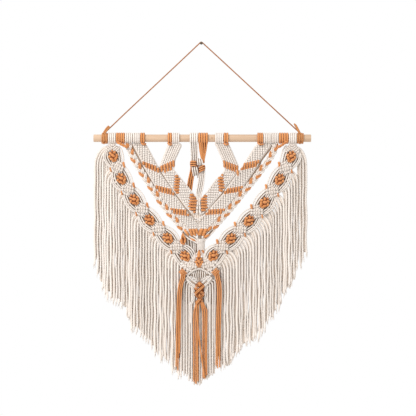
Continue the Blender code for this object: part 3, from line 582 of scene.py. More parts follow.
class CordWorks:
    """Makes cords along routes and turns of cord at places, with two Geometry Nodes trees."""

    def __init__(self, seed: int = 7) -> None:
        """Build both trees once.

        Args:
            seed: the seed of every random draw.
        """
        self.chance = random.Random(seed)
        self.sweep_tree = self.build_sweep_tree()
        self.turn_tree = self.build_turn_tree()
        self.unit_turns: dict[TurnKind, bpy.types.Object] = {}

    @staticmethod
    def build_sweep_tree() -> Tree:
        """The tree that sweeps a twisted, lobed section along each route.

        Returns:
            The tree; it reads the attributes thick (radius), tone and phase of the routes.
        """
        tree = Tree("twisted_cord")
        plies = tree.size("Plies", 'NodeSocketInt')
        relief = tree.size("Ply Relief")
        pitch = tree.size("Twist Length")
        step = tree.size("Ring Step")
        sides = tree.size("Sides", 'NodeSocketInt')
        material = tree.size("Material", 'NodeSocketMaterial')
        lines = tree.node('GeometryNodeMeshToCurve', {"Mesh": tree.start.outputs["Geometry"]})
        even = tree.node('GeometryNodeResampleCurve', {"Curve": lines.outputs[0], "Length": step},
                         mode='LENGTH').outputs[0]
        length = tree.node('GeometryNodeSplineParameter', {}).outputs["Length"]
        turned = tree.math('MULTIPLY', tree.math('DIVIDE', length, pitch), 2 * math.pi)
        tilt = tree.math('ADD', turned, tree.own("phase"))
        twisted = tree.node('GeometryNodeSetCurveTilt', {"Curve": even, "Tilt": tilt}).outputs[0]
        along = tree.capture(twisted, "along", length, 'FLOAT')
        circle = tree.node('GeometryNodeCurvePrimitiveCircle', {"Resolution": sides, "Radius": 1.0},
                           mode='RADIUS').outputs[0]
        spot = tree.node('GeometryNodeInputPosition', {}).outputs[0]
        around = tree.capture(circle, "around", spot, 'VECTOR')
        parts = tree.node('ShaderNodeSeparateXYZ', {0: around.outputs["around"]})
        angle = tree.math('ARCTAN2', parts.outputs[1], parts.outputs[0])
        lobe = tree.math('COSINE', tree.math('MULTIPLY', angle, plies))
        reach = tree.math('ADD', tree.math('MULTIPLY', lobe, relief), 1.0)
        grown = tree.node('ShaderNodeVectorMath', {0: around.outputs["around"], 3: reach},
                          operation='SCALE').outputs[0]
        section = tree.node('GeometryNodeSetPosition',
                            {"Geometry": around.outputs["Geometry"], "Position": grown}).outputs[0]
        groove = tree.capture(section, "groove", lobe, 'FLOAT')
        mesh = tree.node('GeometryNodeCurveToMesh',
                         {"Curve": along.outputs["Geometry"], "Profile Curve": groove.outputs["Geometry"],
                          "Scale": tree.own("thick"), "Fill Caps": True}).outputs[0]
        lay = tree.node('ShaderNodeCombineXYZ', {0: parts.outputs[0], 1: parts.outputs[1],
                                                 2: along.outputs["along"]}).outputs[0]
        mesh = tree.keep(mesh, "lay", lay, 'FLOAT_VECTOR')
        # painted shade, strongest in the grooves between the plies
        crease = tree.math('MULTIPLY', groove.outputs["groove"], -0.30)
        tree.finish(tree.keep(mesh, "crease", crease), material)
        return tree

    @staticmethod
    def build_turn_tree() -> Tree:
        """The tree that puts one turn of cord at each place.

        Returns:
            The tree; it reads the attributes turn (angles), size (half sizes), middle, across and
            lean of the places.
        """
        tree = Tree("turns_of_cord")
        unit = tree.size("Unit Turn", 'NodeSocketObject')
        material = tree.size("Material", 'NodeSocketMaterial')
        shape = tree.node('GeometryNodeObjectInfo', {"Object": unit, "As Instance": True})
        angles = tree.node('FunctionNodeEulerToRotation', {0: tree.own("turn", 'FLOAT_VECTOR')})
        placed = tree.node('GeometryNodeInstanceOnPoints',
                           {"Points": tree.start.outputs["Geometry"],
                            "Instance": shape.outputs["Geometry"],
                            "Rotation": angles.outputs[0],
                            "Scale": tree.own("size", 'FLOAT_VECTOR')}).outputs[0]
        real = tree.node('GeometryNodeRealizeInstances', {"Geometry": placed}).outputs[0]
        spot = tree.node('GeometryNodeInputPosition', {}).outputs[0]
        offset = tree.node('ShaderNodeVectorMath', {0: spot, 1: tree.own("middle", 'FLOAT_VECTOR')},
                           operation='SUBTRACT').outputs[0]
        height = tree.node('ShaderNodeVectorMath', {0: offset, 1: tree.own("across", 'FLOAT_VECTOR')},
                           operation='DOT_PRODUCT').outputs["Value"]
        shift = tree.node('ShaderNodeVectorMath', {0: tree.own("lean", 'FLOAT_VECTOR'), 3: height},
                          operation='SCALE').outputs[0]
        leaning = tree.node('GeometryNodeSetPosition', {"Geometry": real, "Offset": shift}).outputs[0]
        tree.finish(leaning, material)
        return tree

    def unit_turn(self, kind: TurnKind) -> bpy.types.Object:
        """One closed turn of three-ply cord round the X axis, with half sizes of 1.

        Args:
            kind: the shape of the turn.

        Returns:
            A hidden object that the turn tree copies.
        """
        if kind in self.unit_turns:
            return self.unit_turns[kind]
        rim, slant, power, steps, crease, narrowness = kind.value
        sides, plies, twists, relief = 10, 3, 2, 0.035
        verts, lays, crease_shades, faces = [], [], [], []
        for i in range(steps):
            round_angle = 2 * math.pi * i / steps
            front, up = (math.copysign(abs(value) ** power, value)
                         for value in (-math.cos(round_angle), math.sin(round_angle)))
            for k in range(sides):
                angle = 2 * math.pi * k / sides
                lobe = math.cos(plies * angle)
                place = angle + twists * round_angle
                reach = 1.0 + relief * lobe
                radial = 1.0 - rim + rim * reach * math.cos(place)
                verts.append((reach * math.sin(place) + slant * math.sin(round_angle),
                              radial * front, radial * up))
                lays.append((math.cos(angle), math.sin(angle), 0.006 * math.sin(round_angle)))
                # painted shade in the grooves between plies and on the flanks where one turn meets the next
                crease_shades.append(0.05 - 0.05 * lobe + crease * abs(math.sin(place)) ** narrowness)
                here, there = i * sides, (i + 1) % steps * sides
                after = (k + 1) % sides
                faces.append((here + k, here + after, there + after, there + k))
        mesh = bpy.data.meshes.new("unit_turn")
        mesh.from_pydata(verts, [], faces)
        work = bmesh.new()
        work.from_mesh(mesh)
        bmesh.ops.recalc_face_normals(work, faces=work.faces)
        work.to_mesh(mesh)
        work.free()
        write_attribute(mesh, "lay", 'FLOAT_VECTOR', lays)
        write_attribute(mesh, "crease", 'FLOAT', crease_shades)
        self.unit_turns[kind] = put("unit_turn", mesh)
        return self.unit_turns[kind]

    def sweep(self, name: str, strands: Sequence[Strand], finish: CottonFinish,
              kind: CordKind = CordKind.THREE_PLY) -> bpy.types.Object:
        """Cords along their routes.

        Args:
            name: the piece's name.
            strands: the cords.
            finish: their finish.
            kind: how the cords are made.

        Returns:
            One piece with all of the cords.
        """
        verts, edges, thick, tones, phases = [], [], [], [], []
        for strand in strands:
            start, phase = len(verts), self.chance.uniform(0.0, 2 * math.pi)
            count = len(strand.route)
            verts.extend(tuple(at(*place)) for place in strand.route)
            edges.extend((start + i, start + i + 1) for i in range(count - 1))
            sizes = strand.thick if isinstance(strand.thick, (list, tuple)) else [strand.thick] * count
            thick.extend(size / 2 * MM for size in sizes)
            tones.extend([strand.tone] * count)
            phases.extend([phase] * count)
        mesh = bpy.data.meshes.new(name)
        mesh.from_pydata(verts, edges, [])
        write_attribute(mesh, "thick", 'FLOAT', thick)
        write_attribute(mesh, "tone", 'FLOAT', tones)
        write_attribute(mesh, "phase", 'FLOAT', phases)
        plies, relief, pitch, step, sides = kind.value
        return self.sweep_tree.grow(name, put(name, mesh), {
            "Plies": plies, "Ply Relief": relief, "Twist Length": pitch, "Ring Step": step,
            "Sides": sides, "Material": finish.material()})

    def piece(self, name: str, strands: Sequence[Strand], finish: CottonFinish, *nodes: str,
              kind: CordKind = CordKind.THREE_PLY) -> None:
        """Make cords and hand them over as one piece.

        Args:
            name: the piece's name.
            strands: the cords.
            finish: their finish.
            nodes: the nodes of the CAD model that they replace.
            kind: how the cords are made.
        """
        hand_over(self.sweep(name, strands, finish, kind), finish, *nodes)

    def turns(self, name: str, turns: Sequence[Turn], finish: CottonFinish,
              kind: TurnKind = TurnKind.HITCH) -> bpy.types.Object:
        """Closed turns of cord at their places.

        Args:
            name: the piece's name.
            turns: the turns.
            finish: their finish.
            kind: their shape.

        Returns:
            One piece with all of the turns.
        """
        mesh = bpy.data.meshes.new(name)
        mesh.from_pydata([tuple(at(*turn.middle)) for turn in turns], [], [])
        angles = [(0.0, math.atan2(turn.row.y, turn.row.x), 0.0) for turn in turns]
        sizes = [(turn.half_width * MM, turn.half_depth * MM, turn.half_height * MM)
                 for turn in turns]
        write_attribute(mesh, "turn", 'FLOAT_VECTOR', angles)
        write_attribute(mesh, "size", 'FLOAT_VECTOR', sizes)
        write_attribute(mesh, "middle", 'FLOAT_VECTOR', [tuple(at(*turn.middle)) for turn in turns])
        write_attribute(mesh, "across", 'FLOAT_VECTOR', [(-turn.row.y, 0.0, -turn.row.x) for turn in turns])
        write_attribute(mesh, "lean", 'FLOAT_VECTOR',
                        [(turn.row.x * turn.lean, 0.0, -turn.row.y * turn.lean) for turn in turns])
        write_attribute(mesh, "tone", 'FLOAT', [turn.tone for turn in turns])
        return self.turn_tree.grow(name, put(name, mesh), {
            "Unit Turn": self.unit_turn(kind), "Material": finish.material()})

    def tone(self, middle: float = 0.55, spread: float = 0.35) -> float:
        """A cord's own lightness, a little different each time."""
        return middle + self.chance.uniform(-spread, spread)

    def clear(self) -> None:
        """Remove the hidden unit turns once every piece is made."""
        for unit in self.unit_turns.values():
            bpy.data.objects.remove(unit)
        self.unit_turns.clear()


def write_attribute(mesh: bpy.types.Mesh, name: str, kind: str, values: Sequence) -> None:
    """Write a named attribute on a mesh's points.

    Args:
        mesh: the mesh.
        name: the attribute's name.
        kind: its type, FLOAT or FLOAT_VECTOR.
        values: one value a point.
    """
    attribute = mesh.attributes.new(name, kind, 'POINT')
    if kind == 'FLOAT_VECTOR':
        attribute.data.foreach_set("vector", [part for value in values for part in value])
    else:
        attribute.data.foreach_set("value", list(values))


def hand_over(piece: bpy.types.Object, finish: Union[CottonFinish, WoodFinish, NailFinish],
              *nodes: str) -> None:
    """Tell the frame what a piece is: its body and the nodes it stands for.

    Args:
        piece: the finished piece.
        finish: its finish; not used.
        nodes: the nodes of the CAD model that it replaces.
    """
    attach(piece, BODY)
    if nodes:
        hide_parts(*nodes)
    mesh = piece.data
    mesh.calc_loop_triangles()
    LOG.info("%s: %d triangles", piece.name, len(mesh.loop_triangles))


# ---------------------------------------------------------------- rod, nail and hanging cord
def lathe(name: str, stations: Sequence[tuple[float, float]], sides: int,
          place: Callable[[float, float, float], Vector]) -> bpy.types.Object:
    """A round closed piece from (position along the axis, radius) stations.

    Args:
        name: the piece's name.
        stations: the profile from one end to the other.
        sides: how many sides it has.
        place: puts (along, across, across) into the frame.

    Returns:
        The piece, shaded smooth but for its sharp edges.
    """
    work = bmesh.new()
    rings = []
    for along, radius in stations:
        rings.append([work.verts.new(place(along, radius * math.cos(2 * math.pi * k / sides),
                                           radius * math.sin(2 * math.pi * k / sides)))
                      for k in range(sides)])
    for near, far in zip(rings, rings[1:]):
        for k in range(sides):
            after = (k + 1) % sides
            work.faces.new((near[k], near[after], far[after], far[k]))
    work.faces.new(rings[0][::-1])
    work.faces.new(rings[-1])
    bmesh.ops.recalc_face_normals(work, faces=work.faces)
    mesh = bpy.data.meshes.new(name)
    work.to_mesh(mesh)
    work.free()
    mesh.shade_smooth()
    mesh.set_sharp_from_angle(angle=math.radians(40))
    return put(name, mesh)


@dataclass
class WoodenRod:
    """The rod: a plain dowel with eased ends."""
    finish: WoodFinish = field(default_factory=WoodFinish)
    ease: float = 0.8
    sides: int = 48

    def build(self) -> None:
        """Make the rod in place of the plain one."""
        half = ROD_LENGTH / 2
        end = [(half - self.ease * inwards, ROD_RADIUS - self.ease * less)
               for inwards, less in ((0.0, 1.0), (0.3, 0.3), (1.0, 0.0))]
        piece = lathe("wooden_rod", [(-along, radius) for along, radius in end] + end[::-1], self.sides,
                      lambda along, a, b: at(ROD_X + along, ROD_Y + a, ROD_DROP + b))
        piece.data.materials.append(self.finish.material())
        hand_over(piece, self.finish, "rod")


@dataclass
class WallNail:
    """The nail: a shank in the wall and a flat, slightly domed head."""
    finish: NailFinish = field(default_factory=NailFinish)
    shank: float = 1.5
    head: float = 2.8
    length: float = 15.0
    head_thick: float = 1.2
    sides: int = 32

    def build(self) -> None:
        """Make the nail in place of the plain one."""
        neck = -self.length + self.head_thick
        stations = [(0.0, self.shank), (neck + 0.5, self.shank), (neck, self.shank + 0.5),
                    (neck, self.head - 0.2), (neck - 0.2, self.head), (-self.length + 0.4, self.head),
                    (-self.length + 0.1, self.head - 0.4), (-self.length, self.head - 1.1)]
        piece = lathe("nail", stations, self.sides, lambda along, a, b: at(a, along, b))
        piece.data.materials.append(self.finish.material())
        hand_over(piece, self.finish, "wall_nail")


@dataclass
class HangingCord:
    """The taut cord over the nail, its turns round the rod's ends and their loose tails."""
    works: CordWorks
    thick: float = 2.5
    turns: int = 4                  # round the rod, at each end
    turn_radius: float = 11.2
    route: tuple[Place, ...] = (
        (-191.0, -12.4, 177.2), (-165.0, -11.9, 152.2), (-140.0, -11.3, 128.4),
        (-90.0, -10.2, 81.4), (-40.0, -9.0, 34.2), (-12.0, -8.0, 7.6), (-4.4, -8.0, 0.4),
        (0.0, -8.0, -3.1), (4.4, -8.0, 0.4), (12.0, -8.0, 7.4), (40.0, -9.0, 33.2),
        (90.0, -10.2, 79.6), (140.0, -11.3, 126.2), (168.0, -11.9, 152.2), (194.6, -12.4, 177.0))

    def build(self) -> None:
        path = smooth(self.route, 3)
        piece = self.works.sweep("taut_hanging_cord", [Strand(path, self.thick, 0.0)], BROWN,
                                 CordKind.FINE)
        hand_over(piece, BROWN, "hanging_cord")
        self.knot("left", -199.4, -186.8, ((-194.4, -17.4, 181.6), (-189.8, -17.6, 173.4),
                                           (-183.6, -17.0, 166.2)))
        self.knot("right", 191.2, 204.6, ((197.2, -17.4, 181.6), (192.4, -17.6, 172.0),
                                          (186.8, -17.0, 161.6)))

    def knot(self, side: str, left_x: float, right_x: float, tail: Sequence[Place]) -> None:
        """One end of the cord: its turns round the rod, and a doubled tail.

        Args:
            side: left or right.
            left_x: where the turns start.
            right_x: where the turns end.
            tail: the tail's middle line.
        """
        pitch = (right_x - left_x) / self.turns
        turns = [Turn((left_x + pitch * (i + 0.5), ROD_Y, ROD_DROP + 0.5 * (i % 2)), Vector((1.0, 0.0)),
                      pitch * CLOSE_SET, self.turn_radius, self.turn_radius, self.works.tone(1.0, 0.1))
                 for i in range(self.turns)]
        knots = self.works.turns(f"knot_turns_{side}", turns, BROWN, TurnKind.FINE_ROD_LOOP)
        line = smooth(tail, 4)
        strands = [Strand([(x + 1.2 * sign, y - 0.4 * sign, drop + 0.9 * sign) for x, y, drop in line],
                          [3.6] * (len(line) - 1) + [2.4], 0.6) for sign in (-1, 1)]
        low_x = mix(left_x, right_x, 0.42)
        strands.append(Strand(smooth([(low_x - 3.4, -20.4, 197.6), (low_x, -22.6, 201.4),
                                      (low_x + 3.6, -20.6, 198.8)], 4), 2.8, 0.4))
        tails = self.works.sweep(f"knot_tails_{side}", strands, BROWN, CordKind.FINE)
        piece = joined(f"hanging_knot_{side}", [knots, tails])
        hand_over(piece, BROWN, f"hanger_knot_{side}")


# ---------------------------------------------------------------- cords on the rod
class Loops(NamedTuple):
    """Cords wound over the rod side by side."""
    left_x: float
    right_x: float
    cords: int


ROD_TOP_LOOPS = {
    "border_left": Loops(-186.2, -170.9, 4),
    "rope_left": Loops(-170.4, -152.9, 4),
    "plait_left": Loops(-152.4, -137.6, 4),
    "leaf_outer_left": Loops(-137.0, -122.3, 4),
    "orange_loops_1": Loops(-121.8, -112.8, 2),
    "orange_loops_2": Loops(-67.2, -58.8, 2),
    "leaf_inner_left": Loops(-58.2, -43.6, 4),
    "knot_white": Loops(-23.4, -6.7, 4),
    "knot_orange": Loops(-6.2, 13.4, 4),
    "leaf_inner_right": Loops(27.4, 44.2, 4),
    "orange_loops_3": Loops(44.8, 54.4, 2),
    "orange_loops_4": Loops(111.8, 123.6, 3),
    "leaf_outer_right": Loops(124.2, 139.2, 4),
    "plait_right": Loops(139.8, 154.5, 4),
    "rope_right": Loops(155.0, 174.2, 4),
    "border_right": Loops(174.8, 190.6, 4),
}


def rod_loops(works: CordWorks, name: str, finish: CottonFinish) -> bpy.types.Object:
    """The loops over the rod from which a piece hangs.

    Args:
        works: the maker of cords.
        name: the loops' name in the table.
        finish: their finish.

    Returns:
        One piece with all of the loops.
    """
    loops = ROD_TOP_LOOPS[name]
    pitch = (loops.right_x - loops.left_x) / loops.cords
    turns = [Turn((loops.left_x + pitch * (i + 0.5), ROD_Y, ROD_DROP), Vector((1.0, 0.0)),
                  pitch * CLOSE_SET, LOOP_RADIUS, LOOP_RADIUS, works.tone(0.65, 0.2))
             for i in range(loops.cords)]
    return works.turns(f"{name}_loops", turns, finish, TurnKind.ROD_LOOP)


@dataclass
class OrangeLoops:
    """The short orange loops beside the leaves, each with a small knot under the rod."""
    works: CordWorks
    knots: tuple[tuple[str, float, float], ...] = (
        ("orange_loops_1", -115.4, 203.0), ("orange_loops_2", -63.0, 203.4),
        ("orange_loops_3", 49.8, 203.4), ("orange_loops_4", 118.4, 203.0))

    def build(self) -> None:
        """Make the four groups of loops and their knots."""
        for name, x, drop in self.knots:
            loops = ROD_TOP_LOOPS[name]
            pieces = [rod_loops(self.works, name, ORANGE)]
            half = (loops.right_x - loops.left_x) / 2 - 0.6
            route = smooth([(x - half, -16.0, drop - 3.4), (x - 0.4 * half, -21.4, drop - 0.8),
                            (x + 0.5 * half, -21.0, drop), (x + half, -15.6, drop - 2.0)], 4)
            pieces.append(self.works.sweep(f"{name}_knot", [Strand(route, 3.8)], ORANGE))
            hand_over(joined(f"{name}_cords", pieces), ORANGE, name)


# ---------------------------------------------------------------- leaves
class RowKind(Enum):
    """What lies between a key row of a leaf and the next one."""
    HITCHES = "white hitches"
    BAR = "one orange bar"
    NOTHING = "nothing, because the rows turn here"


class LeafRow(NamedTuple):
    """A key row of a leaf from its left to its right end, and what lies between it and the next."""
    left_x: float
    left_drop: float
    right_x: float
    right_drop: float
    kind: RowKind = RowKind.HITCHES


LEAF_ROWS = {
    "leaf_outer_left": (
        LeafRow(-136.4, 201.0, -122.8, 201.0), LeafRow(-134.4, 205.0, -110.2, 204.6),
        LeafRow(-118.0, 236.2, -87.4, 247.0, RowKind.BAR), LeafRow(-113.8, 247.0, -83.4, 260.0),
        LeafRow(-91.6, 284.6, -60.8, 291.6, RowKind.BAR), LeafRow(-86.6, 296.0, -53.2, 305.0),
        LeafRow(-61.8, 330.4, -32.2, 333.4, RowKind.BAR), LeafRow(-53.4, 341.0, -23.4, 346.4),
        LeafRow(-39.4, 357.0, -6.0, 351.4), LeafRow(-25.4, 371.6, -7.6, 371.6, RowKind.BAR),
        LeafRow(-21.6, 384.6, -7.6, 384.6),
    ),
    "leaf_inner_left": (
        LeafRow(-57.8, 201.0, -44.0, 201.0), LeafRow(-66.4, 205.0, -40.0, 204.2),
        LeafRow(-82.6, 246.6, -53.4, 233.6, RowKind.BAR),
        LeafRow(-76.6, 260.0, -55.6, 251.6, RowKind.NOTHING), LeafRow(-75.6, 262.4, -74.4, 258.4),
        LeafRow(-60.0, 285.6, -57.0, 252.6), LeafRow(-55.6, 292.6, -53.0, 257.2, RowKind.BAR),
        LeafRow(-45.4, 306.4, -41.0, 271.6), LeafRow(-28.4, 329.6, -21.0, 295.6, RowKind.BAR),
        LeafRow(-11.2, 341.0, -8.0, 312.0), LeafRow(-7.0, 342.4, -5.9, 320.0),
    ),
    "leaf_inner_right": (
        LeafRow(27.8, 201.0, 43.8, 201.0), LeafRow(30.4, 204.4, 55.2, 204.8),
        LeafRow(43.0, 233.4, 73.6, 246.4, RowKind.BAR),
        LeafRow(47.2, 250.6, 71.0, 257.2, RowKind.NOTHING), LeafRow(69.0, 256.8, 70.4, 259.4),
        LeafRow(48.8, 251.6, 52.6, 281.8), LeafRow(43.8, 261.0, 47.4, 288.6, RowKind.BAR),
        LeafRow(31.4, 271.6, 36.4, 303.4), LeafRow(12.4, 297.0, 12.6, 331.2, RowKind.BAR),
        LeafRow(-2.0, 312.6, 0.2, 341.6), LeafRow(-5.0, 321.0, -4.4, 342.6),
    ),
    "leaf_outer_right": (
        LeafRow(124.8, 201.0, 138.8, 201.0), LeafRow(110.4, 204.4, 137.8, 206.0),
        LeafRow(86.4, 240.4, 116.4, 233.6, RowKind.BAR), LeafRow(78.2, 254.6, 110.8, 246.6),
        LeafRow(50.4, 291.6, 83.8, 285.4, RowKind.BAR), LeafRow(45.2, 301.6, 75.4, 297.2),
        LeafRow(16.4, 333.0, 47.6, 331.2, RowKind.BAR), LeafRow(7.8, 343.4, 39.0, 341.4),
        LeafRow(-5.3, 351.4, 25.4, 357.0), LeafRow(-3.7, 371.6, 11.6, 371.6, RowKind.BAR),
        LeafRow(-3.7, 384.6, 8.4, 384.6),
    ),
}


LAST_STRETCH = 9                # the last of the ten stretches between key rows, tied wider


@dataclass
class HitchRow:
    """One row of half hitches: its ends, the steps to the next row there, its cords' run and pitch."""
    left: Point
    right: Point
    left_step: Vector
    right_step: Vector
    count: int
    is_bar: bool
    lay: Optional[Vector]
    pitch: float


@dataclass
class KnottedLeaf:
    """A leaf of half-hitch rows, with an orange bar after every few white rows."""
    works: CordWorks
    name: str
    pitch: float = 4.9
    bar_pitch: float = 5.8
    foot_pitch: float = 7.4
    row_height: float = 4.9
    half_depth: float = 4.1
    bar_proud: float = 0.8
    edge: float = 3.4
    steepest: float = 1.1
    foot_lean: float = 0.35

    def lay(self, number: int) -> Optional[Vector]:
        """The direction of the hanging cords after a key row, or None where they follow the leaf's sides.

        Args:
            number: the key row's number.

        Returns:
            Straight down in an outer leaf but for its foot, and level in an inner one below its turn.
        """
        if "inner" in self.name:
            turned = any(row.kind is RowKind.NOTHING for row in LEAF_ROWS[self.name][:number])
            return Vector((1.0, 0.0)) if turned else None
        if number < LAST_STRETCH:
            return Vector((0.0, 1.0))
        return Vector((self.foot_lean if "left" in self.name else -self.foot_lean, 1.0))

    def rows(self) -> list[HitchRow]:
        """The rows of hitches, worked out from the leaf's key rows.

        Returns:
            The rows from the rod down.
        """
        rows = []
        table = LEAF_ROWS[self.name]
        for key, (a, b) in enumerate(zip(table, table[1:])):
            if a.kind is RowKind.NOTHING:
                continue
            is_bar = a.kind is RowKind.BAR
            left = Vector((b.left_x - a.left_x, b.left_drop - a.left_drop))
            right = Vector((b.right_x - a.right_x, b.right_drop - a.right_drop))
            width = (math.dist((a.left_x, a.left_drop), (a.right_x, a.right_drop))
                     + math.dist((b.left_x, b.left_drop), (b.right_x, b.right_drop))) / 2
            lines = 1 if is_bar else max(1, round((left.length + right.length) / 2 / self.row_height))
            pitch = self.bar_pitch if is_bar else self.pitch
            if key == LAST_STRETCH:
                pitch = self.foot_pitch
            hitches = max(2, round(width / pitch))
            for number in range(lines):
                share = (number + 0.5) / lines
                rows.append(HitchRow(
                    Point(a.left_x + left.x * share, a.left_drop + left.y * share),
                    Point(a.right_x + right.x * share, a.right_drop + right.y * share),
                    left / lines, right / lines, hitches, is_bar, self.lay(key), pitch))
        return rows

    def cuts(self, row: HitchRow, along: Vector, length: float) -> list[float]:
        """Where a row is divided into hitches.

        Args:
            row: the row.
            along: its unit direction.
            length: its length.

        Returns:
            Distances from its left end; with a fixed lay they fall on the same lines in every row.
        """
        if row.lay is None:
            return [length * i / row.count for i in range(row.count + 1)]
        pitch = row.pitch
        normal = Vector((row.lay.y, -row.lay.x)).normalized()
        start, rate = normal.dot(Vector(row.left)), normal.dot(along)
        first, last = sorted((start / pitch, (start + rate * length) / pitch))
        margin = 0.35 * pitch / abs(rate)
        inside = [(line * pitch - start) / rate for line in range(math.floor(first), math.ceil(last) + 1)]
        return [0.0] + sorted(s for s in inside if margin < s < length - margin) + [length]

    def hitches(self, row: HitchRow) -> list[Turn]:
        """The turns of one row, each leaning with the cords that it is tied from.

        Args:
            row: the row.

        Returns:
            The turns from its left end to its right.
        """
        span = Vector((row.right.x - row.left.x, row.right.drop - row.left.drop))
        length, along = span.length, span.normalized()
        if row.is_bar:
            return self.bar_hitches(row, along, length)
        across = Vector((-along.y, along.x))
        cuts = self.cuts(row, along, length)
        turns = []
        for start, end in zip(cuts, cuts[1:]):
            middle = (start + end) / 2
            step = row.left_step.lerp(row.right_step, middle / length)
            lay = row.lay or step
            if row.lay and (start == 0.0 or end == length):
                lay = row.lay.normalized() + step.normalized()
            lean = lay.dot(along) / (lay.dot(across) or 1e-6)
            turns.append(Turn(
                (row.left.x + along.x * middle, CLOTH_Y + self.works.chance.uniform(-0.12, 0.12),
                 row.left.drop + along.y * middle),
                along, (end - start) * CLOSE_SET, self.half_depth,
                abs(step.dot(across)) * (0.56 if row.lay else 0.70), self.works.tone(0.65, 0.10),
                max(-self.steepest, min(self.steepest, lean))))
        return turns

    def bar_hitches(self, row: HitchRow, along: Vector, length: float) -> list[Turn]:
        """The turns of a bar, cut short where its ends slant more than its cords do.

        Args:
            row: the bar's row.
            along: its unit direction.
            length: its length.

        Returns:
            The turns from end to end.
        """
        across = Vector((-along.y, along.x))
        step = row.left_step.lerp(row.right_step, 0.5)
        half = abs(step.dot(across)) / 2
        lay = row.lay or step
        lean = lay.dot(along) / lay.dot(across)
        slopes = [end.dot(along) / end.dot(across) - lean for end in (row.left_step, row.right_step)]
        start, end = -abs(slopes[0]) * half, length + abs(slopes[1]) * half
        count = max(2, round((end - start) / row.pitch))
        # the foot's hitches overlap, and where the cords lie level the bars keep to their row's height
        share = 0.56 if row.pitch == self.foot_pitch else 0.485
        reach, extra = (0.50, 0.2) if lay.y < 0.5 else (0.60, 0.8)
        turns = []
        for number in range(count):
            spot = mix(start, end, (number + 0.5) / count)
            low, high = -half, half
            for slope, beyond, is_left in ((slopes[0], spot, True), (slopes[1], spot - length, False)):
                if abs(slope) < 0.05:
                    continue
                if (slope > 0) == is_left:
                    high = min(high, beyond / slope)
                else:
                    low = max(low, beyond / slope)
            if high - low < 0.5 * half:
                continue
            middle = (low + high) / 2
            place = Vector(row.left) + along * (spot + lean * middle) + across * middle
            turns.append(Turn((place.x, CLOTH_Y, place.y), along, (end - start) / count * share,
                              self.half_depth + self.bar_proud, (high - low) * reach + extra,
                              self.works.tone(0.7, 0.12), lean))
        return turns

    def edge_cords(self) -> list[Strand]:
        """The cords that turn back at the rows' ends and run down both edges of the leaf.

        Returns:
            The left edge's cord and the right edge's.
        """
        table = LEAF_ROWS[self.name]
        kept = [row for before, row in zip((table[0],) + table, table) if before.kind is not RowKind.NOTHING]
        left = [(row.left_x - self.edge * 0.10, row.left_drop) for row in kept]
        right = [(row.right_x + self.edge * 0.10, row.right_drop) for row in kept]
        return [Strand([(x, CLOTH_Y - 0.2, drop) for x, drop in spaced(line, 3.0)], self.edge, 0.7)
                for line in (left, right)]

    def build(self) -> None:
        """Make the white hitches with their carrier cords, and the orange bars."""
        turns: dict[bool, list[Turn]] = {False: [], True: []}
        carriers: dict[bool, list[Strand]] = {False: self.edge_cords(), True: []}
        for row in self.rows():
            turns[row.is_bar] += self.hitches(row)
            # the carriers' low tone is painted shade where they show between the turns
            carriers[row.is_bar].append(Strand(
                [(mix(row.left.x, row.right.x, t), CLOTH_Y, mix(row.left.drop, row.right.drop, t))
                 for t in (0.0, 0.5, 1.0)], 3.4, 0.1))
        white = [self.works.turns(f"{self.name}_turns", turns[False], NATURAL),
                 self.works.sweep(f"{self.name}_carriers", carriers[False], NATURAL),
                 rod_loops(self.works, self.name, NATURAL)]
        hand_over(joined(f"{self.name}_hitches", white), NATURAL, self.name)
        orange = [self.works.turns(f"{self.name}_bar_turns", turns[True], ORANGE, TurnKind.BAR_HITCH),
                  self.works.sweep(f"{self.name}_bar_carriers", carriers[True], ORANGE)]
        bars = sum(1 for row in LEAF_ROWS[self.name] if row.kind is RowKind.BAR)
        hand_over(joined(f"{self.name}_bars", orange), ORANGE,
                  *(f"{self.name}_bar_{number}" for number in range(1, bars + 1)))


@dataclass
class Seams:
    """The cords behind the leaves: painted dark as shade between two pieces, pale in a shaded copy of the
    natural finish behind the foot, and thin lines of painted shade in the foot's creases.
    """
    works: CordWorks
    y: float = -11.6
    cord: float = 4.2
    foot_y: float = -11.4
    foot_xs: tuple[float, ...] = (-19.4, -15.4, -11.4, -7.4, -3.4, 0.6, 4.6, 8.6)
    # the lines of painted shade in the foot's creases
    crease_shades: tuple[tuple[Place, ...], ...] = (
        ((-21.4, -15.6, 341.0), (-14.0, -16.8, 351.0), (-6.8, -16.8, 361.0)),
        ((10.6, -15.6, 341.0), (3.4, -16.8, 350.0), (-4.2, -16.8, 359.0)))

    def beside_leaves(self) -> list[Strand]:
        """The cords behind the gaps at both sides of the outer leaves.

        Returns:
            A doubled cord behind each side.
        """
        strands = []
        for side, towards, first in (("left", 1, 2), ("right", -1, 3)):
            outer = LEAF_ROWS[f"leaf_outer_{side}"]
            sides = [[(row.left_x, row.left_drop) for row in outer],
                     [(row.right_x, row.right_drop) for row in outer]]
            far, near = sides if side == "left" else sides[::-1]
            for line, shift in ((near[first:8], 1.0), (near[first:8], 4.0), (far[:9], -1.0), (far[:9], -4.0)):
                route = [(x + shift * towards, self.y, drop) for x, drop in line]
                strands.append(Strand(flowing(route, 4, 3.0), self.cord, 0.1))
        return strands

    def build(self) -> None:
        """Make the cords painted dark as shade with their lining, the pale cords in painted shade and the
        lines of painted shade in the foot's creases.
        """
        shaded = self.beside_leaves()
        # cords painted dark as the shade in the gaps beside the leaves
        self.works.piece("seam_cords", shaded, NATURAL_PAINTED_DEEP_SHADE)
        self.works.piece("seam_lining", lining(shaded), NATURAL)
        # pale cords behind the foot, in a shaded copy of the natural finish: painted shade
        pale = [Strand([(x, self.foot_y, 302.0 + 1.4 * abs(x + 5.4)), (x, self.foot_y, 356.0)], 4.6, 0.3)
                for x in self.foot_xs]
        self.works.piece("cords_behind_foot", pale, NATURAL_BACK_PAINTED_SHADE)
        # thin cords painted dark as the shade in the foot's creases
        self.works.piece("foot_creases", [Strand(line, 1.9, 0.3) for line in self.crease_shades], NATURAL_PAINTED_DEEP_SHADE)


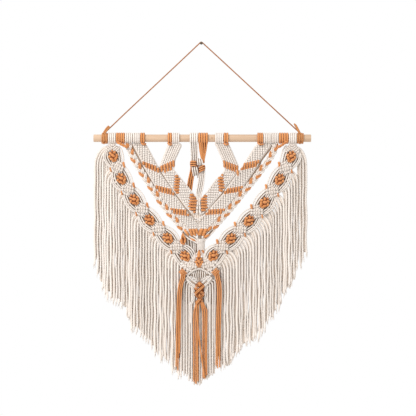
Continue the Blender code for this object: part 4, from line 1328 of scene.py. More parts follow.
# ---------------------------------------------------------------- plaits and ropes
PLAIT_PATHS = {
    "left": (Point(-144.9, 201.0), Point(-144.6, 208.0), Point(-137.4, 226.0),
             Point(-127.8, 243.6), Point(-110.8, 271.6), Point(-92.8, 299.6),
             Point(-74.8, 325.8), Point(-54.4, 351.2), Point(-34.0, 374.6)),
    "right": (Point(147.1, 201.0), Point(147.6, 209.0), Point(137.8, 229.0),
              Point(122.8, 249.8), Point(103.4, 275.4), Point(82.4, 300.4),
              Point(62.2, 326.0), Point(41.8, 349.2), Point(21.4, 371.8)),
}
PLAIT_START = {"left": -1.30, "right": -2.62}      # where the orange strand is in its weave at the top
ROPE_PATHS = {
    "left": ((-168.6, -20.2, 197.4), (-160.0, -22.0, 202.2), (-148.6, -22.4, 208.2)),
    "right": ((170.6, -20.2, 197.2), (163.4, -22.0, 202.2), (153.8, -22.4, 208.4)),
}


@dataclass
class Plait:
    """A flat plait of three doubled cords, one of them orange."""
    works: CordWorks
    side: str
    start_turn: float = 0.0
    period: float = 33.0
    swing: float = 3.8
    depth: float = 2.1
    middle_y: float = -14.6
    cord: float = 3.5

    def cords(self, strand: int) -> list[Strand]:
        """The two cords of one of the plait's three strands.

        Args:
            strand: its number, 0 to 2.

        Returns:
            Both cords, side by side.
        """
        line = flowing(PLAIT_PATHS[self.side], 8, self.period / 12)
        ahead = headings(line)
        step = self.period / 12
        mirror = 1 if self.side == "left" else -1
        pair = []
        for beside in (-1, 1):
            route = []
            for number, ((x, drop), run) in enumerate(zip(line, ahead)):
                angle = self.start_turn + 2 * math.pi * (number * step / self.period + strand / 3)
                offset = self.swing * math.sin(angle) + beside * self.cord * 0.47
                route.append((x + run.y * offset * mirror,
                              self.middle_y + self.depth * math.sin(2 * angle),
                              drop - run.x * offset * mirror))
            pair.append(Strand(route, self.cord, self.works.tone()))
        return pair

    def build(self) -> None:
        """Make the two white strands and the orange one."""
        white = [self.works.sweep(f"plait_{self.side}_cords", self.cords(1) + self.cords(2), NATURAL),
                 rod_loops(self.works, f"plait_{self.side}", NATURAL)]
        hand_over(joined(f"plait_{self.side}_white", white), NATURAL, f"plait_{self.side}")
        self.works.piece(f"plait_{self.side}_orange", self.cords(0), ORANGE)


@dataclass
class Rope:
    """Orange cords wound on the rod and twisted into a short rope that leads into a plait."""
    works: CordWorks
    side: str
    twist_length: float = 13.0
    radius: float = 1.7
    cord: float = 3.8

    def build(self) -> None:
        """Make the loops on the rod and the two-cord rope."""
        line = flowing(ROPE_PATHS[self.side], 6, 1.2)
        strands = []
        for start in (0.0, math.pi):
            route = []
            for number, (x, y, drop) in enumerate(line):
                angle = start + 2 * math.pi * number * 1.2 / self.twist_length
                route.append((x, y + self.radius * math.cos(angle), drop + self.radius * math.sin(angle)))
            strands.append(Strand(route, self.cord, self.works.tone()))
        name = f"rope_{self.side}"
        piece = joined(f"{name}_cords", [rod_loops(self.works, name, ORANGE),
                                         self.works.sweep(f"{name}_twist", strands, ORANGE)])
        hand_over(piece, ORANGE, name)


# ---------------------------------------------------------------- border of berries
BERRIES = {
    "left": (Point(-176.0, 225.6), Point(-159.8, 270.8), Point(-134.0, 312.8),
             Point(-103.6, 353.2), Point(-67.2, 389.6), Point(-32.6, 425.6)),
    "right": (Point(179.8, 226.6), Point(156.6, 272.2), Point(126.4, 318.8),
              Point(95.4, 355.0), Point(59.4, 390.6), Point(24.0, 424.8)),
}
BAND_TOP = {"left": Point(-177.0, 207.8), "right": Point(181.6, 207.8)}
BAND_FOOT = {"left": Point(-21.0, 444.0), "right": Point(14.0, 443.4)}


def crossings(side: str) -> list[Point]:
    """The places of a border's crossing knots.

    Args:
        side: left or right.

    Returns:
        The places above, between and below the berries.
    """
    berries = BERRIES[side]
    between = [Point((a.x + b.x) / 2, (a.drop + b.drop) / 2) for a, b in zip(berries, berries[1:])]
    return [BAND_TOP[side]] + between + [BAND_FOOT[side]]


def inward(before: Point, after: Point, side: str) -> Vector:
    """The unit step from the band's line towards the middle of the hanging."""
    run = Vector((after.x - before.x, after.drop - before.drop)).normalized()
    return Vector((run.y, -run.x)) * (1 if side == "left" else -1)


def bar_of_turns(works: CordWorks, start: Point, end: Point, y: float, pitch: float = 5.0,
                 half_height: float = 2.9, half_depth: float = 3.6) -> list[Turn]:
    """A straight bar of half hitches.

    Args:
        works: the maker of cords.
        start: the middle of the bar's first end.
        end: the middle of its other end.
        y: its distance from the wall.
        pitch: the space that one hitch takes.
        half_height: half of the bar's width.
        half_depth: half of its thickness.

    Returns:
        The turns, evenly spaced.
    """
    span = Vector((end.x - start.x, end.drop - start.drop))
    count = max(1, round(span.length / pitch))
    return [Turn((mix(start.x, end.x, (i + 0.5) / count), y, mix(start.drop, end.drop, (i + 0.5) / count)),
                 span.normalized(), span.length / count * 0.52, half_depth, half_height, works.tone())
            for i in range(count)]


@dataclass
class Band:
    """A stretch of the border between two crossings, with its own along and across directions."""
    start: Point
    berry: Point
    end: Point
    side: str

    @property
    def step(self) -> Vector:
        """The unit step across the band, towards the middle."""
        return inward(self.start, self.end, self.side)

    @property
    def length(self) -> float:
        """The stretch's length."""
        return math.dist(self.start, self.end)

    def at(self, share: float, across: float, y: float) -> Place:
        """A place on the band.

        Args:
            share: how far along it lies, from 0 to 1.
            across: how far it lies from the band's line, towards the middle.
            y: its place from the wall.

        Returns:
            The place in x, y and drop.
        """
        drift = math.sin(math.pi * share)
        x = mix(self.start.x, self.end.x, share) + drift * (self.berry.x - (self.start.x + self.end.x) / 2)
        drop = (mix(self.start.drop, self.end.drop, share)
                + drift * (self.berry.drop - (self.start.drop + self.end.drop) / 2))
        return (x + self.step.x * across, y, drop + self.step.y * across)


def bands(side: str) -> list[Band]:
    """The six stretches of one side of the border."""
    knots = crossings(side)
    return [Band(start, berry, end, side) for start, berry, end in zip(knots, BERRIES[side], knots[1:])]


class Bow(NamedTuple):
    """A cord that bows round a berry: how far it lies from the band's line at its ends and middle."""
    near: float
    far: float


@dataclass
class BerryBorder:
    """One side of the border: crossed bars, cords that bow round the berries, and orange dots."""
    works: CordWorks
    side: str
    cord: float = 3.1
    bows: tuple[Bow, ...] = (Bow(3.4, 11.2), Bow(7.0, 15.4), Bow(11.0, 19.8),
                             Bow(-5.0, -11.4), Bow(-8.6, -16.2), Bow(-11.4, -19.4))
    bar_reach: float = 12.6
    bar_slope: float = 0.85          # how much of a bar's reach runs along the band
    dot_reach: float = 14.0
    behind_y: float = -10.4

    def bowed_cords(self) -> list[Strand]:
        """The cords that run from one crossing to the next on both sides of each berry.

        Returns:
            The cords, stretch by stretch.
        """
        strands = []
        for band in bands(self.side):
            for bow in self.bows:
                route = []
                for t in (0.02, 0.14, 0.30, 0.5, 0.70, 0.86, 0.98):
                    swell = math.sin(math.pi * t) ** 0.75
                    route.append(band.at(t, mix(bow.near, bow.far, swell), -14.2 - 1.6 * swell))
                strands.append(Strand(flowing(route, 4, 2.4), self.cord, self.works.tone(0.65, 0.25)))
        return strands

    def leading_cords(self) -> list[Strand]:
        """The short cords that lead from a crossing, or from the rod, to the berry beside it.

        Returns:
            The cords at the crossings, and then those under the rod.
        """
        strands = []
        for band in bands(self.side):
            for near, far, bend in ((0.0, 0.30, 0.16), (1.0, 0.70, 0.84)):
                for across in (-5.0, -1.7, 1.7, 5.0):
                    route = [band.at(near, across * 0.6, -14.4), band.at(bend, across * 1.15, -17.0),
                             band.at(far, across, -14.8)]
                    strands.append(Strand(smooth(route, 4), self.cord, self.works.tone(0.6, 0.25)))
        loops, top = ROD_TOP_LOOPS[f"border_{self.side}"], BAND_TOP[self.side]
        for number in range(7):
            x = mix(loops.left_x + 1.4, loops.right_x - 1.4, number / 6)
            route = [(x, -16.4, 197.0), (mix(top.x, x, 1.1), -15.8, 204.0),
                     (mix(top.x, x, 1.5), -14.8, 214.0)]
            strands.append(Strand(smooth(route, 4), 2.6, self.works.tone(0.6, 0.25)))
        return strands

    def cords_behind(self) -> list[Strand]:
        """The cords behind the berries, which close the band at its back, painted dark as the shade in its
        gaps.

        Returns:
            The cords, stretch by stretch.
        """
        strands = []
        for band in bands(self.side):
            for across in (-13.0, -8.0, -3.0, 2.0, 7.0, 12.0):
                route = [band.at(0.0, across * 0.55, self.behind_y), band.at(0.25, across, self.behind_y),
                         band.at(0.75, across, self.behind_y), band.at(1.0, across * 0.55, self.behind_y)]
                strands.append(Strand(flowing(route, 4, 3.2), 5.0, self.works.tone(0.5, 0.4)))
        return strands

    def bars(self) -> list[Turn]:
        """The bars of half hitches.

        Returns:
            The turns of the crossed bars at the crossings, and of the roof over the first berry.
        """
        turns = []
        knots = crossings(self.side)
        points = [knots[0]] + list(BERRIES[self.side]) + [knots[-1]]
        for number, knot in enumerate(knots[1:], 1):
            step = inward(points[number], points[number + 1], self.side)
            run = Vector((-step.y, step.x))
            if run.y < 0:
                run = -run
            for slope, y in ((self.bar_slope, -17.0), (-self.bar_slope, -15.6)):
                away = (step + run * slope).normalized() * self.bar_reach
                beside = Vector((away.y, -away.x)).normalized() * 2.9
                for shift in (-1, 1):
                    turns += bar_of_turns(
                        self.works,
                        Point(knot.x - away.x + beside.x * shift, knot.drop - away.y + beside.y * shift),
                        Point(knot.x + away.x + beside.x * shift, knot.drop + away.y + beside.y * shift), y)
        return turns + self.top_chevron(knots[0])

    def top_chevron(self, top: Point) -> list[Turn]:
        """The two double bars that spread from under the rod like a roof over the first berry.

        Args:
            top: the place of the crossing under the rod.

        Returns:
            Their turns.
        """
        turns = []
        outwards = -1 if self.side == "left" else 1
        for reach in (13.6 * outwards, -13.0 * outwards):
            for below in (0.0, 5.4):
                turns += bar_of_turns(self.works, Point(top.x, top.drop - 5.0 + below),
                                      Point(top.x + reach, top.drop + 5.0 + below), -16.0, 4.0, 2.8)
        return turns

    def dots(self) -> list[Strand]:
        """The small orange knots at both ends of each crossing between two berries.

        Returns:
            One short fat cord a knot.
        """
        strands = []
        knots, berries = crossings(self.side), BERRIES[self.side]
        for number in range(1, len(berries)):
            knot = knots[number]
            step = inward(berries[number - 1], berries[number], self.side)
            for sign, size in ((1, 1.0), (-1, 0.75)):
                x = knot.x + step.x * self.dot_reach * sign
                drop = knot.drop + step.y * self.dot_reach * sign
                route = [(x - 0.8, -15.8, drop - 4.4 * size), (x - 0.3, -18.4, drop - 1.6 * size),
                         (x + 0.4, -18.4, drop + 1.6 * size), (x + 0.8, -15.8, drop + 4.4 * size)]
                strands.append(Strand(smooth(route, 4), 4.8 * size, self.works.tone()))
        return strands

    def build(self) -> None:
        """Make the white border, the cords behind it painted dark as shade with their lining, and its orange
        dots.
        """
        name = f"border_{self.side}"
        white = [self.works.sweep(f"{name}_bows", self.bowed_cords() + self.leading_cords(), NATURAL),
                 self.works.turns(f"{name}_bars", self.bars(), NATURAL, TurnKind.BAR_HITCH),
                 rod_loops(self.works, name, NATURAL)]
        hand_over(joined(f"{name}_cords", white), NATURAL, name)
        behind = self.cords_behind()
        # cords painted dark as the shade inside the band
        self.works.piece(f"{name}_behind", behind, NATURAL_PAINTED_DEEP_SHADE)
        self.works.piece(f"{name}_lining", lining(behind), NATURAL)
        self.works.piece(f"{name}_dots", self.dots(), ORANGE)


LOBE_WIDTH = 10.4               # the half sizes of the berry that the lobes are laid out in
LOBE_HEIGHT = 12.4
LOBE_SIZE = 11.4                # between the two, for the lobes' thickness


class Lobe(NamedTuple):
    """One bulge of a berry, in the lobes' own sizes: its place, slope, length and thickness."""
    across: float
    down: float
    degrees: float
    length: float
    thick: float


BERRY_LOBES = (
    Lobe(0.0, -10.6, 8.0, 3.8, 4.6),
    Lobe(-4.4, -6.4, 42.0, 6.2, 4.9),
    Lobe(4.4, -6.4, -42.0, 6.2, 4.9),
    Lobe(-7.6, -0.4, -40.0, 5.4, 4.7),
    Lobe(0.0, -0.8, 40.0, 7.0, 5.2),
    Lobe(7.6, -0.2, 42.0, 5.4, 4.7),
    Lobe(-4.2, 5.4, 40.0, 6.4, 4.9),
    Lobe(4.2, 5.2, -40.0, 6.4, 4.9),
    Lobe(-2.2, 10.2, 26.0, 4.2, 4.3),
    Lobe(2.6, 10.2, -26.0, 4.2, 4.3),
)


@dataclass
class Berry:
    """A berry knot: about ten bulging bends of cord, front and back, round a core painted dark as the shade
    between them.
    """
    works: CordWorks
    half_width: float = 10.6
    half_height: float = 13.0
    half_depth: float = 7.4
    middle_y: float = -16.0
    squareness: float = 1.6
    plumpness: float = 1.16

    def bend(self, lobe: Lobe, place: Point, run: Vector, face: int, mirror: int) -> Strand:
        """One bulge on the berry's front or back.

        Args:
            lobe: the bulge.
            place: the berry's middle.
            run: the direction of its axis, down the band.
            face: -1 for the front, 1 for the back.
            mirror: -1 to swap its left and right.

        Returns:
            A short fat cord whose ends dip into the core.
        """
        chance = self.works.chance
        slope = math.radians(lobe.degrees + chance.uniform(-12.0, 12.0))
        route = []
        for t in (-0.5, -0.3, 0.0, 0.3, 0.5):
            across = mirror * (lobe.across + lobe.length * t * math.cos(slope)) * self.half_width / LOBE_WIDTH
            down = (lobe.down + lobe.length * t * math.sin(slope)) * self.half_height / LOBE_HEIGHT
            reach = (abs(across / self.half_width) ** self.squareness
                     + abs(down / self.half_height) ** self.squareness) ** (1 / self.squareness)
            pull = min(1.0, 0.84 / max(reach, 1e-6))
            across, down = across * pull, down * pull
            round_off = (across / self.half_width) ** 2 + (down / self.half_height) ** 2
            proud = self.half_depth * math.sqrt(1.0 - 0.85 * round_off) - 2.4 - 4.0 * t * t
            route.append((place.x + run.y * across + run.x * down, self.middle_y + face * proud,
                          place.drop - run.x * across + run.y * down))
        scale = math.sqrt(self.half_width * self.half_height) / LOBE_SIZE
        sizes = [lobe.thick * scale * self.plumpness * share for share in (0.74, 0.93, 1.0, 0.93, 0.74)]
        return Strand(route, sizes, self.works.tone(0.6, 0.4))

    def core(self, place: Point, run: Vector) -> Strand:
        """The fat core, painted dark as the shade that shows between the bulges.

        Args:
            place: the berry's middle.
            run: the direction of its axis, down the band.

        Returns:
            A cord that is thin at both ends.
        """
        route, sizes = [], []
        for t in (-0.95, -0.75, -0.4, 0.0, 0.4, 0.75, 0.95):
            down = t * self.half_height * 0.82
            route.append((place.x + run.x * down, self.middle_y, place.drop + run.y * down))
            sizes.append(2 * 0.80 * self.half_depth * math.sqrt(1.0 - t * t))
        return Strand(route, sizes, 0.0)

    def build(self, name: str, place: Point, run: Vector, mirror: int = 1) -> None:
        """Make one berry in place of its node."""
        strands = [self.bend(lobe, place, run, face, mirror) for face in (-1, 1) for lobe in BERRY_LOBES]
        self.works.piece(f"{name}_cords", strands, ORANGE, name)


MIDDLE_BERRY = Point(-4.6, 437.4)
BERRY_TIP = ((-4.8, -17.0, 411.4), (-4.7, -19.4, 416.0), (-4.6, -20.2, 422.0), (-4.6, -20.8, 428.0))


def build_berries(works: CordWorks) -> None:
    """Make six berries on each side, and a tall narrow one with a pointed tip in the middle.

    Args:
        works: the maker of cords.
    """
    berry = Berry(works)
    painted_shade_cores = []
    for side in BERRIES:
        for number, band in enumerate(bands(side), 1):
            run = Vector((band.end.x - band.start.x, band.end.drop - band.start.drop)).normalized()
            berry.build(f"berry_{side}_{number}", band.berry, run, 1 if side == "left" else -1)
            painted_shade_cores.append(berry.core(band.berry, run))
    middle = Berry(works, 8.4, 11.8, squareness=2.2, plumpness=1.36)
    down = Vector((0.0, 1.0))
    middle.build("berry_middle", MIDDLE_BERRY, down)
    painted_shade_cores.append(middle.core(MIDDLE_BERRY, down))
    works.piece("berry_tip", [Strand(BERRY_TIP, [1.8, 4.0, 7.0, 8.6], 0.5)], ORANGE)
    # the berries' cores, painted dark as the shade between their bulges
    works.piece("berry_cores", painted_shade_cores, ORANGE_PAINTED_DEEP_SHADE)


# ---------------------------------------------------------------- knot in the middle and neck
class Bundle(NamedTuple):
    """Cords side by side: where the first and the last one run, in pairs from the top, and their tone."""
    pairs: tuple[tuple[Place, Place], ...]
    tone: float = 0.55


WHITE_BUNDLES = (
    Bundle((((-21.4, -17.6, 197.0), (-8.6, -17.6, 197.0)), ((-20.6, -16.8, 212.0), (-8.2, -16.8, 212.0)),
            ((-19.8, -15.8, 228.0), (-7.8, -15.8, 228.0)), ((-19.6, -15.0, 246.0), (-8.0, -15.0, 246.0)))),
    Bundle((((-7.8, -15.0, 231.0), (0.4, -15.0, 233.0)), ((-7.6, -20.6, 235.0), (1.4, -20.6, 236.0)),
            ((-6.6, -21.4, 240.0), (2.4, -21.4, 241.0)), ((-6.4, -15.6, 246.0), (1.4, -15.6, 246.0))), 0.7),
    Bundle((((-17.6, -15.0, 247.0), (-9.4, -15.0, 246.0)), ((-17.8, -20.8, 250.6), (-9.2, -20.8, 250.0)),
            ((-16.8, -21.2, 257.0), (-7.8, -21.2, 256.6)), ((-15.4, -14.6, 265.0), (-7.6, -14.6, 263.0))),
           0.7),
    Bundle((((-5.4, -15.2, 252.0), (6.6, -15.2, 252.0)), ((-4.0, -15.6, 262.0), (6.4, -15.6, 262.0)),
            ((-6.6, -15.2, 282.0), (4.4, -15.2, 282.0)), ((-9.4, -14.8, 297.0), (1.0, -14.8, 297.0)),
            ((-9.0, -14.2, 310.0), (-2.4, -14.2, 310.0)), ((-8.8, -13.6, 326.0), (-3.0, -13.6, 326.0)))),
)
ORANGE_UPPER_BUNDLES = (
    Bundle((((-4.4, -17.6, 197.0), (1.8, -17.6, 197.0)), ((-3.2, -16.4, 211.0), (1.9, -16.4, 211.0)),
            ((-1.0, -15.4, 224.0), (2.4, -15.4, 224.0)), ((0.9, -13.6, 232.0), (2.8, -13.6, 232.0)),
            ((1.4, -13.0, 240.0), (3.0, -13.0, 240.0)))),
    Bundle((((6.4, -17.6, 197.0), (11.6, -17.6, 197.0)), ((6.0, -16.8, 211.0), (9.8, -16.8, 211.0)),
            ((4.8, -15.8, 224.0), (7.4, -15.8, 224.0)), ((3.8, -14.0, 232.0), (5.8, -14.0, 232.0)),
            ((3.6, -13.4, 240.0), (5.4, -13.4, 240.0)))),
)
ORANGE_LOWER_BUNDLE = Bundle(
    (((-20.6, -13.4, 246.0), (-12.6, -13.4, 248.0)), ((-21.2, -13.0, 254.0), (-13.8, -13.0, 256.0)),
     ((-25.2, -10.6, 272.0), (-16.6, -10.6, 272.0)), ((-27.2, -8.0, 284.0), (-18.4, -8.0, 284.0)),
     ((-27.4, -7.6, 295.0), (-19.8, -7.6, 295.0))), 0.5)


@dataclass
class MiddleKnot:
    """White and orange cords that hang from the rod, link in a knot and part again."""
    works: CordWorks
    cord: float = 3.9
    drawn_tight: float = 0.8         # a cord's thickness in the knot, as a share of its own

    def fan(self, bundle: Bundle) -> list[Strand]:
        """The cords of one bundle.

        Args:
            bundle: the bundle.

        Returns:
            The cords, evenly spread between the first and the last.
        """
        first_top, last_top = bundle.pairs[0]
        count = max(2, round(abs(last_top[0] - first_top[0]) / self.cord) + 1)
        strands = []
        for number in range(count):
            share = number / (count - 1)
            route = [tuple(mix(a, b, share) for a, b in zip(first, last)) for first, last in bundle.pairs]
            route = [(x, y - 0.5 * (number % 2), drop) for x, y, drop in flowing(route, 4, 2.6)]
            strands.append(Strand(route, self.cord * self.drawn_tight, self.works.tone(bundle.tone, 0.3)))
        return strands

    def backing(self, strands: Sequence[Strand]) -> list[Strand]:
        """The cords behind cords that hang side by side, painted dark as the shade in the gaps.

        Args:
            strands: the cords in front.

        Returns:
            One cord behind each gap between two neighbours.
        """
        result = []
        for one, other in zip(strands, strands[1:]):
            if math.dist(one.route[0], other.route[0]) < 2.2 * self.cord:
                route = [tuple(mix(a, b, 0.5) for a, b in zip(*pair)) for pair in zip(one.route, other.route)]
                result.append(Strand([(x, y + 2.9, drop) for x, y, drop in route],
                                     self.cord * self.drawn_tight, 0.3))
        return result

    def wraps(self) -> list[Strand]:
        """The orange cords wound round the knot.

        Returns:
            Three at its upper left and three at its lower right.
        """
        routes = [[(-9.6, -14.6, drop + 1.6), (-12.0, -21.2, drop + 0.6), (-16.4, -21.8, drop),
                   (-20.4 - reach, -19.0, drop + 0.4), (-21.0 - reach, -14.6, drop + 1.0)]
                  for drop, reach in ((236.2, 0.0), (240.4, 0.6), (244.6, 0.0))]
        routes += [[(-5.0, -14.6, drop + 3.2), (-2.6, -20.8, drop + 1.8), (1.6, -21.8, drop - 0.4),
                    (5.2 + reach, -19.2, drop - 2.0), (6.2 + reach, -14.6, drop - 1.6)]
                   for drop, reach in ((246.6, 0.0), (250.8, 0.8), (255.0, 0.2))]
        return [Strand(flowing(route, 4, 2.0), self.cord * self.drawn_tight, self.works.tone(0.7, 0.2))
                for route in routes]

    def build(self) -> None:
        """Make the white cords and the orange cords, each with cords behind them painted dark as shade."""
        white = [strand for bundle in WHITE_BUNDLES for strand in self.fan(bundle)]
        behind = self.backing(white)
        # cords painted dark as the shade between the white cords
        self.works.piece("middle_white_behind", behind, NATURAL_PAINTED_DEEP_SHADE)
        self.works.piece("middle_white_lining", lining(behind, 2.6), NATURAL)
        pieces = [self.works.sweep("middle_white_cords", white, NATURAL),
                  rod_loops(self.works, "knot_white", NATURAL)]
        hand_over(joined("middle_knot_white_cords", pieces), NATURAL, "middle_knot_white")

        orange = [strand for bundle in ORANGE_UPPER_BUNDLES for strand in self.fan(bundle)]
        orange += self.wraps() + self.fan(ORANGE_LOWER_BUNDLE)
        # cords painted dark as the shade between the orange cords
        self.works.piece("middle_orange_behind", self.backing(orange), ORANGE_PAINTED_DEEP_SHADE)
        pieces = [self.works.sweep("middle_orange_cords", orange, ORANGE),
                  rod_loops(self.works, "knot_orange", ORANGE)]
        hand_over(joined("middle_knot_orange_cords", pieces), ORANGE, "middle_knot_orange")


class Fleck(NamedTuple):
    """A short stretch of orange cord that shows between the white ones."""
    start: Point
    end: Point
    thick: float
    y: float


FLECKS = (
    Fleck(Point(-34.4, 371.6), Point(-25.0, 385.0), 5.4, -18.6),
    Fleck(Point(20.8, 366.4), Point(12.2, 376.0), 5.6, -18.6),
    Fleck(Point(17.0, 382.4), Point(4.8, 388.8), 5.2, -19.8),
    Fleck(Point(-21.6, 390.4), Point(-10.4, 396.0), 4.6, -17.4),
    Fleck(Point(2.0, 411.0), Point(5.2, 420.4), 4.2, -19.2),
    Fleck(Point(-37.4, 380.0), Point(-39.8, 393.0), 3.8, -18.4),    # the small diamond beside the neck
    Fleck(Point(-40.0, 389.0), Point(-37.0, 401.0), 3.8, -18.8),
    Fleck(Point(-36.6, 380.0), Point(-31.8, 394.0), 4.2, -18.8),
    Fleck(Point(-31.4, 389.0), Point(-33.8, 402.6), 4.6, -18.4),
    Fleck(Point(-41.0, 400.6), Point(-32.0, 402.2), 3.8, -18.8),
    Fleck(Point(71.4, 251.0), Point(73.6, 266.0), 5.0, -18.4),      # the tail of the right leaf's first bar
)


@dataclass
class WrappedNeck:
    """The white wrapping under the leaves: one cord wound round the gathered cords."""
    works: CordWorks
    top: float = 389.0
    foot: float = 414.0
    turns: int = 9
    steps: int = 18                 # in one turn
    half_width: float = 7.2
    half_depth: float = 5.0
    wrap: float = 2.5
    cord: float = 3.7

    def gathered(self) -> list[Strand]:
        """The cords of both plaits, which meet in a V over the wrapping.

        Returns:
            Three cords from each side, left and right by turns.
        """
        strands = []
        for low in (0.0, 0.5, 1.0):
            left = [(mix(-38.0, -32.0, low), -14.0, mix(380.0, 371.0, low)),
                    (mix(-25.0, -20.0, low), -15.4, mix(391.0, 382.4, low)),
                    (mix(-13.0, -8.4, low), -16.8, mix(397.0, 389.6, low)),
                    (mix(-7.0, -4.6, low), -16.2, 401.0)]
            right = [(mix(16.0, 25.0, low), -14.0, mix(368.0, 376.0, low)),
                     (mix(8.6, 15.0, low), -15.2, mix(378.4, 386.4, low)),
                     (mix(3.0, 8.0, low), -16.4, mix(387.0, 393.4, low)),
                     (mix(0.4, 5.0, low), -16.2, 401.0)]
            for route in (left, right):
                strands.append(Strand(flowing(route, 5, 2.4), self.cord * 0.88,
                                      self.works.tone(0.75, 0.2)))
        return strands

    def coil(self) -> Strand:
        """The wrapping cord.

        Returns:
            One cord that winds round the neck from its top to its foot.
        """
        count = self.turns * self.steps
        route = []
        for number in range(count + 1):
            angle = 2 * math.pi * number / self.steps
            route.append((-0.8 + self.half_width * math.cos(angle), -16.0 + self.half_depth * math.sin(angle),
                          mix(self.top + 1.4, self.foot - 1.4, number / count)))
        return Strand(route, self.wrap, 0.7)

    def strands_beside(self) -> list[Strand]:
        """The loose cords that hang at the wrapping's left, behind the border.

        Returns:
            Four cords, from left to right.
        """
        strands = []
        for top, bend, foot in ((-27.6, -26.4, -24.0), (-23.2, -20.6, -17.8), (-18.4, -16.0, -14.2),
                                (-13.8, -12.4, -11.8)):
            route = [(top, -13.0, 380.0), (bend, -11.6, 400.0), (foot, -9.6, 424.0)]
            strands.append(Strand(flowing(route, 5, 2.4), 3.0, self.works.tone(0.75, 0.2)))
        return strands

    def fleck(self, fleck: Fleck) -> Strand:
        """The cord of one fleck, which comes to the front and dips away at both ends.

        Args:
            fleck: the fleck.

        Returns:
            A cord that is thickest in its middle.
        """
        route, sizes = [], []
        for number in range(9):
            t = number / 8
            swell = math.sin(math.pi * t)
            route.append((mix(fleck.start.x, fleck.end.x, t), fleck.y + 2.4 - 2.4 * swell,
                          mix(fleck.start.drop, fleck.end.drop, t)))
            sizes.append(fleck.thick * (0.45 + 0.55 * swell))
        return Strand(route, sizes, self.works.tone(0.5))

    def shaded(self) -> list[Strand]:
        """The cords behind the neck, painted dark as shade.

        Returns:
            The six at the back, which have a lining, and then one behind each gap in the V.
        """
        strands = [Strand([(x, -8.0, 384.0), (x + 1.6, -8.0, 404.0), (x + 3.0, -7.6, 424.0)], 4.8, 0.0)
                   for x in (-30.0, -25.6, -21.2, -16.8, -12.6)]
        strands.append(Strand([(-3.2, -11.4, 380.0), (-2.8, -11.4, 398.0)], 7.6, 0.0))
        gathered = self.gathered()
        for one, other in zip(gathered, gathered[2:]):
            strands.append(Strand([(mix(a[0], b[0], 0.5), a[1] + 2.2, mix(a[2], b[2], 0.5))
                                   for a, b in zip(one.route, other.route)], 3.4, 0.1))
        return strands

    def build(self) -> None:
        """Make the white cords, the cords behind them painted dark as shade and the orange flecks."""
        strands = [self.coil()] + self.gathered() + self.strands_beside()
        for x in (-3.6, -0.6, 2.2):
            route = [(x, -15.6, 396.0), (x, -16.0, 410.0), (x - 1.4, -15.0, 424.0)]
            strands.append(Strand(flowing(route, 4, 3.0), self.cord, 0.45))
        self.works.piece("wrapped_neck", strands, NATURAL, "neck")
        shaded = self.shaded()
        # cords painted dark as the shade behind the neck
        self.works.piece("cords_behind_neck", shaded, NATURAL_PAINTED_DEEP_SHADE)
        self.works.piece("neck_lining", lining(shaded[:6]), NATURAL)
        self.works.piece("neck_orange_flecks", [self.fleck(fleck) for fleck in FLECKS], ORANGE)
        # the diamond's core, painted dark as the shade between its cords
        core = Strand([(-36.2, -14.6, 383.0), (-36.0, -15.0, 400.0)], 5.4, 0.1)
        self.works.piece("neck_diamond_core", [core], ORANGE_PAINTED_DEEP_SHADE)


